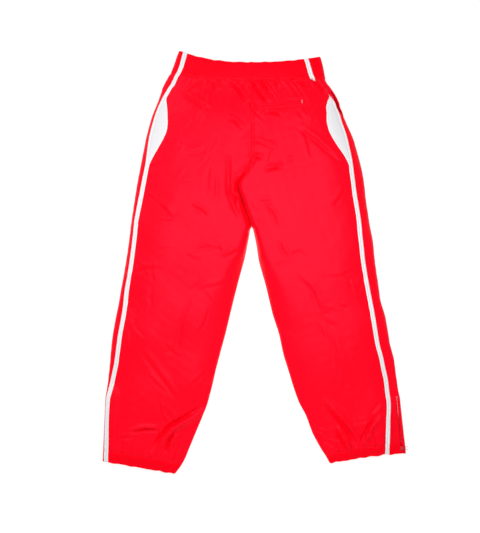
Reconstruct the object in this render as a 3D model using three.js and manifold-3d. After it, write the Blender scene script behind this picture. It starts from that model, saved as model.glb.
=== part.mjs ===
// Woven-nylon warm-up pants for hockey, lying flat on their front with the back side up.
// The waist points along +Y, the wearer's left leg is on -X and the floor is the plane z = 0.
// Every cloth piece is cut from one surface: side(left or right), depth down the outseam and
// reach round the leg from the folded side edge, positive over the back and negative over the front.
import * as THREE from "three";
import { mergeVertices } from "three/addons/utils/BufferGeometryUtils.js";
import Module from "manifold-3d";

const wasm = await Module();
wasm.setup();

const { clamp, degToRad, lerp, smoothstep } = THREE.MathUtils;

// ---------------------------------------------------------------- driving dimensions, in mm
// Depths run down the outseam from the waist's top edge.
const riseLength = 335; // waist edge to crotch
const legLength = 682; // crotch to hem
const forkDrop = 107; // crotch to where the two lying legs part
const hipDepth = 172; // depth of the widest hip insert
const kneeDrop = 337; // crotch to knee
const calfHeight = 182; // where the leg starts to taper, above the hem
const waistCasing = 56; // height of the elastic waist casing
const cuffCasing = 26; // height of the elastic hem casing

// Flat widths of one leg, and half widths of the body.
const waistReach = 178;
const hipReach = 241;
const crotchReach = 281;
const forkReach = 298;
const kneeWidth = 269;
const calfWidth = 248;
const ankleWidth = 231;
const hemWidth = 182;

// Cloth, sewing and lofts.
const cloth = 1.6; // a shell panel with its lining
const gap = 0.3; // between two pieces sewn edge to edge
const seamGap = 0.45; // half the opening along the inseam and centre seams
const foldRadius = 7; // side folds of the body and thigh
const ankleFoldRadius = 5.2; // side folds of the ankle
const rampWidth = 70; // how far in from a fold the top layer still rises
const waistLoft = 29;
const seatLoft = 46;
const kneeLoft = 36;
const hemLoft = 21;

// Side stripes: two pipings that run together and part round the hip insert.
const pipingWidth = 5;
const insertDepth = 118; // top tip of the insert
const insertLength = 170;
const insertWidth = 31;

// Elastics and the facings that hold them.
const elasticThickness = 1.2;
const facingThickness = 0.8;
const liningGap = 0.7; // between the shell and what lies against its inside

// Hand pockets in the side panels.
const handSlitDepth = 84;
const handSlitLength = 150;
const handSlitGape = 7.2;
const handBagDrop = 70; // how far the bag hangs below its slit
const handBagWidth = 150;
const bagWall = 0.8;
const bagClearance = 1.3; // between the back pocket's bag and the panel over it

// Back pocket: a welt with two lips over a zip.
const backZipLength = 112;
const backZipInset = 22; // centre seam to the inner end of the zip
const backZipDepth = 131;
const backZipTilt = 4.5; // degrees, rising to the outside
const lipWidth = 5;
const lipThickness = 1.2;
const backBagDrop = 115;

// Zips.
const ankleZipLength = 150;
const tapeThickness = 0.8;
const tapeWidth = 11;
const coilWidth = 1.5;
const coilThickness = 1.4;
const chainSplit = 1.6; // between the two halves of the chain
const sliderLength = 10;
const sliderWidth = 7.2;
const sliderPlate = 1.1;
const sliderPost = 0.7;
const ankleSlit = 9.6; // opening in the side panel over the chain
const stopLength = 2.5; // of the stop that joins the two tapes at the top of the zip
const sliderRest = 13; // from an ankle zip's open end to its closed slider
const linkLength = 8.6; // between the two eyes of the pull link
const linkEye = 1.15; // radius of its eyes
const linkWall = 1.1;
const linkThickness = 1.3;
const linkPlay = 0.1; // between the link and the foot of its eye
const backLinkLength = 4.6;
const backSliderRest = 6.5; // from the back zip's outer end to its closed slider
const ringRadius = 4.2; // centre line of the pull ring
const ringWire = 0.65;

// ---------------------------------------------------------------- landmarks and the lay
const hemDepth = riseLength + legLength;
const forkDepth = riseLength + forkDrop;
const thighDepth = riseLength + (forkDrop + kneeDrop) / 2;
const kneeDepth = riseLength + kneeDrop;
const calfDepth = hemDepth - calfHeight;
const ankleZipTop = hemDepth - ankleZipLength;
const cuffDepth = hemDepth - cuffCasing;
const seatDepth = (hipDepth + riseLength) / 2;
const insertEnd = insertDepth + insertLength;
const handSlitEnd = handSlitDepth + handSlitLength;
const insertTip = 6; // blunt end left off each tip of the insert
const stationStep = 74; // longest cloth facet along the leg
const lowest = cloth / 2;

// A monotone cubic through [place, value] pairs, level beyond both ends.
function through(pairs) {
  const xs = pairs.map((pair) => pair[0]);
  const ys = pairs.map((pair) => pair[1]);
  const slopes = xs.slice(1).map((x, i) => (ys[i + 1] - ys[i]) / (x - xs[i]));
  const tangents = xs.map((_, i) => {
    if (i === 0) return slopes[0];
    if (i === xs.length - 1) return slopes[i - 1];
    const before = slopes[i - 1];
    const after = slopes[i];
    return before * after <= 0 ? 0 : (2 * before * after) / (before + after);
  });
  return (x) => {
    if (x <= xs[0]) return ys[0];
    if (x >= xs.at(-1)) return ys.at(-1);
    const i = xs.findIndex((_, k) => x < xs[k + 1]);
    const step = xs[i + 1] - xs[i];
    const u = (x - xs[i]) / step;
    const rest = 1 - u;
    return (
      ys[i] * (1 + 2 * u) * rest * rest +
      tangents[i] * step * u * rest * rest +
      ys[i + 1] * u * u * (3 - 2 * u) -
      tangents[i + 1] * step * u * u * rest
    );
  };
}

// The centre seam as it lies: straight down the seat, then drawn towards the left leg at the crotch.
const middle = through([
  [0, -6],
  [waistCasing, -6],
  [hipDepth, 0],
  [seatDepth, 0],
  [riseLength - 43, -9],
  [riseLength, -34],
  [riseLength + 40, -22],
  [forkDepth, 1],
]);

// How each leg lies: spread moves its folded side edge outwards, shift moves its outer end down the
// floor and lowering its inner end, and roll turns the outseam round the fold (negative is under).
const lay = {
  left: {
    sign: -1,
    spread: [6, 21, 10, 5, 5, 343, 360, 365, 372],
    shift: [[0, 0], [hemDepth, 0]],
    lowering: [38, 38, 32],
    roll: [-16, -10, -2, -12, -16, -12, -10, -14, -21],
    bump: 7.2, // lift over the slider that lies underneath
  },
  right: {
    sign: 1,
    spread: [-6, 5.5, -10, -4, -4.5, 336, 363, 371, 386],
    shift: [[0, 15], [waistCasing, 15], [hipDepth, 0], [ankleZipTop, 0], [hemDepth, -12]],
    lowering: [38, 36, 12],
    roll: [4, 3, -1, -1, 0, 1, 5, 10.5, 12],
    bump: 0,
  },
};

const sideHalfWidth = through([
  [0, 28],
  [waistCasing, 25],
  [insertDepth, 11.5],
  [hipDepth + 20, 11.5],
  [insertEnd, 19],
  [forkDepth, 22],
  [kneeDepth, 24],
  [ankleZipTop, 15],
  [hemDepth, 24],
]);

const loft = through([
  [0, waistLoft],
  [waistCasing, waistLoft + 1],
  [hipDepth, seatLoft - 2],
  [seatDepth, seatLoft],
  [forkDepth, seatLoft - 4],
  [kneeDepth, kneeLoft],
  [ankleZipTop, hemLoft + 5],
  [hemDepth, hemLoft],
]);

const foldAt = through([
  [kneeDepth, foldRadius],
  [calfDepth, ankleFoldRadius],
]);

function layLeg({ sign, spread, shift, lowering, roll, bump }) {
  const reachTop = through([
    [0, waistReach + spread[0]],
    [waistCasing, waistReach + spread[1]],
    [hipDepth, hipReach + spread[2]],
    [riseLength, crotchReach + spread[3]],
    [forkDepth, forkReach + spread[4]],
    [kneeDepth, spread[5]],
    [calfDepth, spread[6]],
    [ankleZipTop, spread[7]],
  ]);
  // The side edge is straight along the ankle zip.
  const reach = (depth) =>
    depth <= ankleZipTop
      ? reachTop(depth)
      : lerp(spread[7], spread[8], (depth - ankleZipTop) / ankleZipLength);
  const width = through([
    [forkDepth, reach(forkDepth) - 2],
    [thighDepth, (reach(forkDepth) + kneeWidth) / 2 - 3],
    [kneeDepth, kneeWidth],
    [calfDepth, calfWidth],
    [(calfDepth + cuffDepth) / 2, ankleWidth - 8],
    [hemDepth, hemWidth],
  ]);
  const inner = (depth) =>
    depth < forkDepth ? sign * middle(depth) + 0.01 : reach(depth) - width(depth);
  const outerShift = through(shift);
  const innerShift = through([
    [0, 27.5],
    [waistCasing, 16.5],
    [hipDepth, 0],
    [forkDepth, 0],
    [kneeDepth, 35],
    [calfDepth, lowering[0]],
    [ankleZipTop + 30, lowering[1]],
    [hemDepth, lowering[2]],
  ]);
  const rollTop = through([
    [0, roll[0]],
    [waistCasing, roll[1]],
    [hipDepth, roll[2]],
    [riseLength, roll[3]],
    [forkDepth, roll[4]],
    [kneeDepth, roll[5]],
    [calfDepth - 20, roll[6]],
    [ankleZipTop, roll[7]],
  ]);
  const rollAt = (depth) =>
    depth <= ankleZipTop
      ? rollTop(depth)
      : lerp(roll[7], roll[8], (depth - ankleZipTop) / ankleZipLength);
  return { sign, reach, inner, outerShift, innerShift, roll: rollAt, bump };
}

const left = layLeg(lay.left);
const right = layLeg(lay.right);
const legs = { left, right };

// Below the crotch each leg closes on itself; above it the two halves meet at the centre seam.
const closing = (depth) => smoothstep(depth, riseLength - 75, riseLength);
const legGap = (depth) =>
  (cloth / 2 + gap) * smoothstep(depth, riseLength - 125, riseLength - 75) +
  smoothstep(depth, riseLength, forkDepth);

// The straight section of one side at one depth: its folded end, its inner end and its width.
function section(leg, depth) {
  const outer = new THREE.Vector2(
    leg.sign * leg.reach(depth),
    -(depth + leg.outerShift(depth)),
  );
  const inner = new THREE.Vector2(
    leg.sign * (leg.inner(depth) + legGap(depth)),
    -(depth + leg.innerShift(depth)),
  );
  return { outer, inner, width: outer.distanceTo(inner), fold: foldAt(depth) };
}

// Length of one layer from the folded side edge to the inner edge.
function girth(leg, depth) {
  const { width, fold } = section(leg, depth);
  return width + (Math.PI - 2) * fold;
}

const ramp = (distance) => smoothstep(distance, 0, rampWidth);
const rounded = (distance, fold) =>
  distance >= fold ? 1 : Math.sqrt(Math.max(0, 1 - (1 - distance / fold) ** 2));

// A point of the cloth's middle surface, round distance along the section from the folded edge.
function surface(leg, depth, round) {
  const { outer, inner, width, fold } = section(leg, depth);
  const length = width + (Math.PI - 2) * fold;
  const quarter = (Math.PI / 2) * fold;
  const along = Math.abs(round);
  let inset = fold + along - quarter;
  if (along < quarter) inset = fold * (1 - Math.cos(along / fold));
  if (along > length - quarter) inset = width - fold * (1 - Math.cos((length - along) / fold));
  const close = closing(depth);
  const edge = rounded(inset, fold) * (1 - close * (1 - rounded(width - inset, fold)));
  const centre = lowest + fold;
  const zipInset = fold + Math.abs(leg.roll(depth)) - quarter;
  const overZip = 1 - smoothstep(Math.abs(inset - zipInset), 13, 26);
  let height = centre - fold * edge;
  if (round >= 0) {
    const rise = ramp(inset) * (1 - close * (1 - ramp(width - inset)));
    height = centre + fold * edge + (loft(depth) - centre - fold) * rise;
  }
  height += leg.bump * overZip * smoothstep(depth, ankleZipTop - 45, ankleZipTop - 8);
  const place = outer.clone().lerp(inner, inset / width);
  return new THREE.Vector3(place.x, place.y, height);
}

// The outward normal of the surface, from small steps both ways.
function normalAt(leg, depth, round) {
  const small = 0.05;
  const across = surface(leg, depth, round + small).sub(surface(leg, depth, round - small));
  const down = surface(leg, depth + small, round).sub(surface(leg, depth - small, round));
  return across.cross(down).multiplyScalar(leg.sign).normalize();
}

const spot = (leg, depth, round) => ({
  point: surface(leg, depth, round),
  normal: normalAt(leg, depth, round),
});

// ---------------------------------------------------------------- solids
function geometryOf(positions, triangles) {
  const geometry = new THREE.BufferGeometry();
  geometry.setAttribute("position", new THREE.Float32BufferAttribute(positions, 3));
  geometry.setIndex(triangles);
  return geometry;
}

function signedVolume(positions, triangles) {
  const corner = (i) => new THREE.Vector3().fromArray(positions, 3 * i);
  let sum = 0;
  for (let i = 0; i < triangles.length; i += 3) {
    const cross = corner(triangles[i + 1]).cross(corner(triangles[i + 2]));
    sum += corner(triangles[i]).dot(cross);
  }
  return sum;
}

// Thickens a grid of spots into a closed sheet; offset moves it along the normals, and a ring
// closes the last column on the first.
function sheet(rows, thickness, offset = 0, ring = false) {
  const columns = rows[0].length;
  const positions = [];
  for (const row of rows) {
    for (const { point, normal } of row) {
      for (const face of [0.5, -0.5]) {
        const vertex = point.clone().addScaledVector(normal, offset + face * thickness);
        positions.push(vertex.x, vertex.y, vertex.z);
      }
    }
  }
  const id = (i, j, face) => (i * columns + (j % columns)) * 2 + face;
  const triangles = [];
  const quad = (a, b, c, d) => triangles.push(a, b, c, a, c, d);
  const last = rows.length - 1;
  const steps = ring ? columns : columns - 1;
  for (let i = 0; i < last; i++) {
    for (let j = 0; j < steps; j++) {
      quad(id(i, j, 0), id(i + 1, j, 0), id(i + 1, j + 1, 0), id(i, j + 1, 0));
      quad(id(i, j, 1), id(i, j + 1, 1), id(i + 1, j + 1, 1), id(i + 1, j, 1));
    }
    if (ring) continue;
    quad(id(i, 0, 0), id(i, 0, 1), id(i + 1, 0, 1), id(i + 1, 0, 0));
    quad(id(i, steps, 0), id(i + 1, steps, 0), id(i + 1, steps, 1), id(i, steps, 1));
  }
  for (let j = 0; j < steps; j++) {
    quad(id(0, j, 0), id(0, j + 1, 0), id(0, j + 1, 1), id(0, j, 1));
    quad(id(last, j, 0), id(last, j, 1), id(last, j + 1, 1), id(last, j + 1, 0));
  }
  if (signedVolume(positions, triangles) < 0) triangles.reverse();
  return geometryOf(positions, triangles);
}

// Skins rings of points, each a convex outline, into one closed solid.
function loftSolid(rings) {
  const count = rings[0].length;
  const positions = rings.flat().flatMap((point) => point.toArray());
  const triangles = [];
  const id = (i, j) => i * count + (j % count);
  for (let i = 0; i < rings.length - 1; i++) {
    for (let j = 0; j < count; j++) {
      triangles.push(id(i, j), id(i, j + 1), id(i + 1, j + 1));
      triangles.push(id(i, j), id(i + 1, j + 1), id(i + 1, j));
    }
  }
  const end = rings.length - 1;
  for (let j = 1; j < count - 1; j++) {
    triangles.push(id(0, 0), id(0, j + 1), id(0, j));
    triangles.push(id(end, 0), id(end, j), id(end, j + 1));
  }
  if (signedVolume(positions, triangles) < 0) triangles.reverse();
  return geometryOf(positions, triangles);
}

function solidOf(geometry) {
  const bare = geometry.clone();
  bare.deleteAttribute("normal");
  bare.deleteAttribute("uv");
  const merged = mergeVertices(bare, 1e-4);
  const vertProperties = merged.getAttribute("position").array;
  const triVerts = Uint32Array.from(merged.index.array);
  return new wasm.Manifold(new wasm.Mesh({ numProp: 3, vertProperties, triVerts }));
}

function geometryFrom(solid) {
  const mesh = solid.getMesh();
  return geometryOf(Array.from(mesh.vertProperties), Array.from(mesh.triVerts));
}

const cut = (geometry, ...tools) =>
  geometryFrom(tools.reduce((solid, tool) => solid.subtract(solidOf(tool)), solidOf(geometry)));
const join = (geometry, ...others) =>
  geometryFrom(others.reduce((solid, other) => solid.add(solidOf(other)), solidOf(geometry)));

function box(from, to) {
  const size = to.map((value, axis) => value - from[axis]);
  const centre = to.map((value, axis) => (value + from[axis]) / 2);
  return new THREE.BoxGeometry(...size).translate(...centre);
}

// ---------------------------------------------------------------- materials
const finish = (color, roughness, metalness = 0) =>
  new THREE.MeshStandardMaterial({ color, roughness, metalness });
const materials = {
  shell: finish(0xfb1230, 0.55),
  piping: finish(0xf8f8f8, 0.7),
  insert: finish(0xebe9ec, 0.75),
  elastic: finish(0xe9e6e2, 0.85),
  facing: finish(0xd9102a, 0.65),
  pocketing: finish(0xc40f28, 0.75),
  tape: finish(0xc8101f, 0.8),
  coil: finish(0xb01020, 0.45),
  metal: finish(0xb9b4b4, 0.32, 0.9),
  enamel: finish(0xb3222c, 0.4, 0.35),
};

const pants = new THREE.Group();
function add(name, geometry, material, parent = pants) {
  const mesh = new THREE.Mesh(geometry, material);
  mesh.name = name;
  parent.add(mesh);
  return mesh;
}

// ---------------------------------------------------------------- pattern lines
// Depths at which every cloth piece has a row, so that neighbours share their facets.
function stations() {
  const marks = [
    0,
    waistCasing,
    handSlitDepth + 4,
    insertDepth,
    insertDepth + insertTip,
    insertDepth + 0.28 * insertLength,
    insertDepth + 0.55 * insertLength,
    insertDepth + 0.8 * insertLength,
    insertEnd - insertTip,
    insertEnd,
    riseLength,
    riseLength + forkDrop / 3,
    forkDepth,
    kneeDepth,
    calfDepth,
    ankleZipTop,
    cuffDepth,
    hemDepth,
  ].sort((a, b) => a - b);
  const rows = [marks[0]];
  for (const mark of marks.slice(1)) {
    const start = rows.at(-1);
    if (mark - start < 2) continue;
    const pieces = Math.ceil((mark - start) / stationStep);
    for (let i = 1; i <= pieces; i++) rows.push(lerp(start, mark, i / pieces));
  }
  return rows;
}
const rows = stations();
const between = (from, to) => rows.filter((depth) => depth > from - 1 && depth < to + 1);

// Leaf-shaped opening between the two pipings, fullest above its middle.
function insertSpread(depth) {
  const share = clamp((depth - insertDepth) / insertLength, 0, 1);
  const swell = Math.sin(Math.PI * share ** 0.86);
  return insertWidth * (share < 0.46 ? swell : swell ** 1.5);
}

// Pattern lines on the back (facing +1) or the front (-1) of one leg, from the outseam inwards.
function lines(leg, depth, facing) {
  const open = facing > 0 ? insertSpread(depth) : 0;
  const seam = leg.roll(depth);
  const panel = sideHalfWidth(depth);
  const outerPiping = panel + gap;
  const insert = outerPiping + pipingWidth + gap;
  const innerPiping = insert + open;
  return {
    side: seam + facing * panel,
    outerPiping: [seam + facing * outerPiping, seam + facing * (outerPiping + pipingWidth)],
    insert: [seam + facing * insert, seam + facing * (innerPiping - gap)],
    innerPiping: [seam + facing * innerPiping, seam + facing * (innerPiping + pipingWidth)],
    panel: seam + facing * (innerPiping + pipingWidth + gap),
  };
}

// Columns over the main panel: an even spread, then round the inner fold to the seam.
function panelColumns(leg, depth, facing) {
  const from = lines(leg, depth, facing).panel;
  const quarter = (Math.PI / 2) * foldAt(depth);
  const end = girth(leg, depth);
  const flat = [0, 0.12, 0.3, 0.5, 0.7, 0.88, 1].map((f) => lerp(from, facing * (end - quarter), f));
  return [...flat, facing * (end - quarter / 2), facing * (end - seamGap)];
}

// Columns over the side panel, close together round the folded edge.
function sideColumns(leg, depth) {
  const quarter = (Math.PI / 2) * foldAt(depth);
  const half = (limit) => {
    const arc = Math.min(Math.abs(limit), quarter);
    const bend = [1 / 3, 2 / 3, 1].map((f) => f * arc);
    const far = Math.abs(limit) - arc;
    const flat = [0.5, 1].map((f) => arc + f * Math.max(far, 0));
    return far > 1 ? [...bend, ...flat] : [0.2, 0.4, 0.6, 0.8, 1].map((f) => f * arc);
  };
  const front = half(lines(leg, depth, -1).side).map((value) => -value);
  return [...front.reverse(), 0, ...half(lines(leg, depth, 1).side)];
}

const clothPiece = (leg, depths, columns, thickness = cloth, offset = 0) =>
  sheet(
    depths.map((depth) => columns(depth).map((round) => spot(leg, depth, round))),
    thickness,
    offset,
  );

// ---------------------------------------------------------------- back pocket frame
// Local axes: x along the zip towards the outside, y towards the waist, z out of the cloth.
const backZip = new THREE.Group();
{
  const width = section(right, backZipDepth).width;
  const inset = width - backZipInset - backZipLength / 2;
  const round = inset + (Math.PI / 2 - 1) * foldAt(backZipDepth);
  const { point, normal } = spot(right, backZipDepth, round);
  const tilt = degToRad(backZipTilt);
  const along = new THREE.Vector3(Math.cos(tilt), Math.sin(tilt), 0);
  const across = normal.clone().cross(along).normalize();
  along.crossVectors(across, normal);
  backZip.matrix.makeBasis(along, across, normal).setPosition(point);
  backZip.matrix.decompose(backZip.position, backZip.quaternion, backZip.scale);
  backZip.updateMatrix();
}
const backHalf = backZipLength / 2;
const windowHalf = chainSplit / 2 + lipWidth + gap;
const inBackZip = (geometry) => geometry.clone().applyMatrix4(backZip.matrix);

// ---------------------------------------------------------------- shell
function shellPanels(name, leg) {
  const back = clothPiece(leg, rows, (depth) => panelColumns(leg, depth, 1));
  const opening = box(
    [-backHalf - gap, -windowHalf, -9],
    [backHalf + gap, windowHalf, 9],
  );
  const pocketed = leg === right ? cut(back, inBackZip(opening)) : back;
  add(`back_panel_${name}`, pocketed, materials.shell);
  const front = clothPiece(leg, rows, (depth) => panelColumns(leg, depth, -1));
  add(`front_panel_${name}`, front, materials.shell);
}

// The wrap-round side panel, slit for the hand pocket and open at the ankle zip.
function sidePanel(name, leg) {
  const whole = clothPiece(leg, rows, (depth) => sideColumns(leg, depth));
  const slitRows = [0, 0.12, 0.3, 0.5, 0.7, 0.88, 1];
  const slitDepths = slitRows.map((f) => handSlitDepth + f * handSlitLength);
  const gape = (depth) => {
    const share = (depth - handSlitDepth) / handSlitLength;
    return 0.6 + (handSlitGape / 2 - 0.6) * Math.sin(Math.PI * share) ** 0.5;
  };
  const slit = clothPiece(
    leg,
    slitDepths,
    (depth) => [-1, 0, 1].map((f) => leg.roll(depth) + f * gape(depth)),
    4 * cloth,
  );
  const zipOpening = clothPiece(
    leg,
    [ankleZipTop - stopLength - 2, hemDepth + 4],
    (depth) => [-1, 0, 1].map((f) => leg.roll(depth) + (f * ankleSlit) / 2),
    4 * cloth,
  );
  add(`side_panel_${name}`, cut(whole, slit, zipOpening), materials.shell);
}

function stripes(name, leg) {
  for (const [view, facing] of [["back", 1], ["front", -1]]) {
    for (const line of ["outerPiping", "innerPiping"]) {
      const strip = clothPiece(leg, rows, (depth) => lines(leg, depth, facing)[line]);
      const place = line === "outerPiping" ? "outer" : "inner";
      add(`${view}_${place}_piping_${name}`, strip, materials.piping);
    }
  }
  const depths = between(insertDepth + insertTip, insertEnd - insertTip);
  const leaf = clothPiece(leg, depths, (depth) => {
    const [from, to] = lines(leg, depth, 1).insert;
    return [from, lerp(from, to, 0.5), to];
  });
  add(`hip_insert_${name}`, leaf, materials.insert);
}

// ---------------------------------------------------------------- elastics and facings
const elasticOffset = -(cloth / 2 + liningGap + elasticThickness / 2);
const facingOffset = elasticOffset - (elasticThickness + facingThickness) / 2 - gap - 0.1;

// Every column of one side, from the front seam round the folded edge to the back seam.
function roundLeg(leg, depth) {
  const front = lines(leg, depth, -1);
  const back = lines(leg, depth, 1);
  return [
    ...panelColumns(leg, depth, -1).reverse(),
    ...front.innerPiping.toReversed(),
    ...front.outerPiping.toReversed(),
    ...sideColumns(leg, depth),
    ...back.outerPiping,
    ...back.innerPiping,
    ...panelColumns(leg, depth, 1),
  ];
}

function waistRing(depths, thickness, offset) {
  const rings = depths.map((depth) => {
    const [rightHalf, leftHalf] = [right, left].map((leg) =>
      roundLeg(leg, depth).map((round) => spot(leg, depth, round)),
    );
    return [...rightHalf, ...leftHalf.reverse()];
  });
  return sheet(rings, thickness, offset, true);
}

function waist() {
  const elastic = waistRing([3, waistCasing - 4], elasticThickness, elasticOffset);
  add("waist_elastic", elastic, materials.elastic);
  const facing = waistRing([2, waistCasing], facingThickness, facingOffset);
  add("waist_facing", facing, materials.facing);
}

// Round the ankle from one side of the zip to the other, over the back first.
function cuffStrip(leg, depths, thickness, offset) {
  const clear = tapeWidth + chainSplit / 2 + 2;
  const first = roundLeg(leg, depths[0]);
  const seam = leg.roll(depths[0]);
  const places = first.map((round, place) => ({ round, place }));
  const back = places.filter(({ round }) => round > seam + clear + 2);
  const front = places.filter(({ round }) => round < seam - clear - 2);
  const columns = (depth) => {
    const all = roundLeg(leg, depth);
    const start = leg.roll(depth) + clear;
    const stop = leg.roll(depth) - clear;
    return [start, ...[...back, ...front].map(({ place }) => all[place]), stop];
  };
  return clothPiece(leg, depths, columns, thickness, offset);
}

function cuff(name, leg) {
  const end = hemDepth - 2;
  const depths = [cuffDepth, end];
  const elastic = cuffStrip(leg, [cuffDepth + 3, end - 1], elasticThickness, elasticOffset);
  add(`cuff_elastic_${name}`, elastic, materials.elastic);
  const facing = cuffStrip(leg, depths, facingThickness, facingOffset);
  add(`cuff_facing_${name}`, facing, materials.facing);
}

// ---------------------------------------------------------------- pocket bags
// A flat bag inside the hip, open towards the slit in the folded edge.
function handPocket(name, leg) {
  const top = handSlitDepth - 8;
  const bottom = handSlitEnd + handBagDrop;
  const floor = cloth + 0.6;
  const ceiling = floor + 10.5;
  const mouthHalf = 4.2;
  const mouth = 4.4;
  const lip = 16;
  const outline = (depth, inset) => {
    const centre = lowest + foldAt(depth);
    const low = floor + inset;
    const high = ceiling - inset;
    const back = handBagWidth - inset;
    const open = inset > 0 ? mouth - 4 : mouth;
    const spread = mouthHalf - inset;
    const profile = [
      [open, centre - spread],
      [lip, low],
      [back, low],
      [back, high],
      [lip, high],
      [open, centre + spread],
    ];
    const { outer, inner, width } = section(leg, depth);
    return profile.map(([across, height]) => {
      const place = outer.clone().lerp(inner, across / width);
      return new THREE.Vector3(place.x, place.y, height);
    });
  };
  const steps = [0, 0.2, 0.4, 0.6, 0.8, 1];
  const body = loftSolid(steps.map((f) => outline(lerp(top, bottom, f), 0)));
  const space = loftSolid(
    steps.map((f) => outline(lerp(top + bagWall, bottom - bagWall, f), bagWall)),
  );
  add(`hand_pocket_bag_${name}`, cut(body, space), materials.pocketing);
}

const tapeDrop = 2.4; // depth of the back zip's tape below the cloth's middle surface

function backPocketBag() {
  const outerEnd = backZipInset + backZipLength + 4;
  const innerEnd = backZipInset - 4;
  const outline = (depth, inset) => {
    const { outer, inner, width } = section(right, depth);
    const under = loft(depth) - cloth / 2 - bagClearance - inset;
    const low = under - 9 + 2 * inset;
    const profile = [
      [innerEnd + inset, under],
      [outerEnd - inset, under],
      [outerEnd - inset, low],
      [innerEnd + inset, low],
    ];
    return profile.map(([fromSeam, height]) => {
      const place = inner.clone().lerp(outer, fromSeam / width);
      return new THREE.Vector3(place.x, place.y, height);
    });
  };
  const bagTop = backZipDepth - 18;
  const bagEnd = backZipDepth + backBagDrop;
  const depths = [bagTop, ...rows.filter((row) => row > bagTop + 2 && row < bagEnd - 2), bagEnd];
  const body = loftSolid(depths.map((depth) => outline(depth, 0)));
  depths[0] += bagWall;
  depths[depths.length - 1] -= bagWall;
  const space = loftSolid(depths.map((depth) => outline(depth, bagWall)));
  const window = box([-backHalf - 2, -tapeWidth + 1, -5], [backHalf + 2, tapeWidth - 1, 0]);
  add("back_pocket_bag", cut(body, space, inBackZip(window)), materials.pocketing);
}

// ---------------------------------------------------------------- zips
const stadium = (length, radius) => {
  const shape = new THREE.Shape();
  shape.absarc(0, 0, radius, Math.PI / 2, (3 * Math.PI) / 2, false);
  shape.absarc(length, 0, radius, -Math.PI / 2, Math.PI / 2, false);
  return shape;
};

function extrude(shape, depth, segments = 6) {
  return new THREE.ExtrudeGeometry(shape, { depth, bevelEnabled: false, curveSegments: segments });
}

// A slider body in its own frame: x across, y towards the closed chain, z out of the cloth. Its two
// plates lie under and over the chain, joined by a post at the end where the chain would part, and
// the arch over them has an eye for the pull link.
function sliderBody({ under, over, archBar, archThickness }) {
  const half = sliderLength / 2;
  const side = sliderWidth / 2;
  const plate = (low) => {
    const shape = new THREE.Shape([
      new THREE.Vector2(-side + 1.2, -half),
      new THREE.Vector2(side - 1.2, -half),
      new THREE.Vector2(side, 3 - half),
      new THREE.Vector2(side - 1.4, half),
      new THREE.Vector2(-side + 1.4, half),
      new THREE.Vector2(-side, 3 - half),
    ]);
    return extrude(shape, sliderPlate).translate(0, 0, low);
  };
  const post = box([-sliderPost / 2, 1 - half, under - 0.2], [sliderPost / 2, 4 - half, over + 0.2]);
  const archFoot = over + sliderPlate - 0.2;
  const eyeFoot = archBar - linkEye - linkWall - linkPlay;
  const barHalf = linkEye / 2;
  const archShape = new THREE.Shape([
    new THREE.Vector2(-3.9, archFoot),
    new THREE.Vector2(3.9, archFoot),
    new THREE.Vector2(3.1, archBar + barHalf),
    new THREE.Vector2(-3.1, archBar + barHalf),
  ]);
  const eye = new THREE.Path([
    new THREE.Vector2(-2.1, eyeFoot),
    new THREE.Vector2(2.1, eyeFoot),
    new THREE.Vector2(2.1, archBar - barHalf),
    new THREE.Vector2(-2.1, archBar - barHalf),
  ]);
  archShape.holes.push(eye);
  const arch = extrude(archShape, archThickness)
    .translate(0, 0, -archThickness / 2)
    .rotateX(Math.PI / 2)
    .rotateZ(Math.PI / 2);
  return join(plate(under - sliderPlate), plate(over), post, arch);
}

// A long link with an eye at each end, reaching along x and hinged on the slider's arch.
function pullLink(length) {
  const outline = stadium(length, linkEye + linkWall);
  outline.holes.push(new THREE.Path(stadium(length, linkEye).getPoints(6).reverse()));
  return extrude(outline, linkThickness)
    .translate(0, 0, -linkThickness / 2)
    .rotateX(Math.PI / 2);
}

// The frame of an ankle zip: the straight line of the outseam between the hem and the zip's top.
function ankleFrame(leg) {
  const [start, end] = [hemDepth - sliderRest, ankleZipTop + sliderLength].map((depth) =>
    spot(leg, depth, leg.roll(depth)),
  );
  const along = end.point.clone().sub(start.point).normalize();
  const across = along.clone().cross(start.normal).normalize();
  const out = across.clone().cross(along);
  const group = new THREE.Group();
  group.matrix.makeBasis(across, along, out).setPosition(start.point);
  group.matrix.decompose(group.position, group.quaternion, group.scale);
  pants.add(group);
  return group;
}

const ankleTapeOffset = -(cloth / 2 + gap + tapeThickness / 2);
const ankleTapeTop = ankleTapeOffset + tapeThickness / 2;
const ankleTapeUnder = ankleTapeOffset - tapeThickness / 2;
const coilLift = ankleTapeTop + gap + coilThickness / 2;

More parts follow.
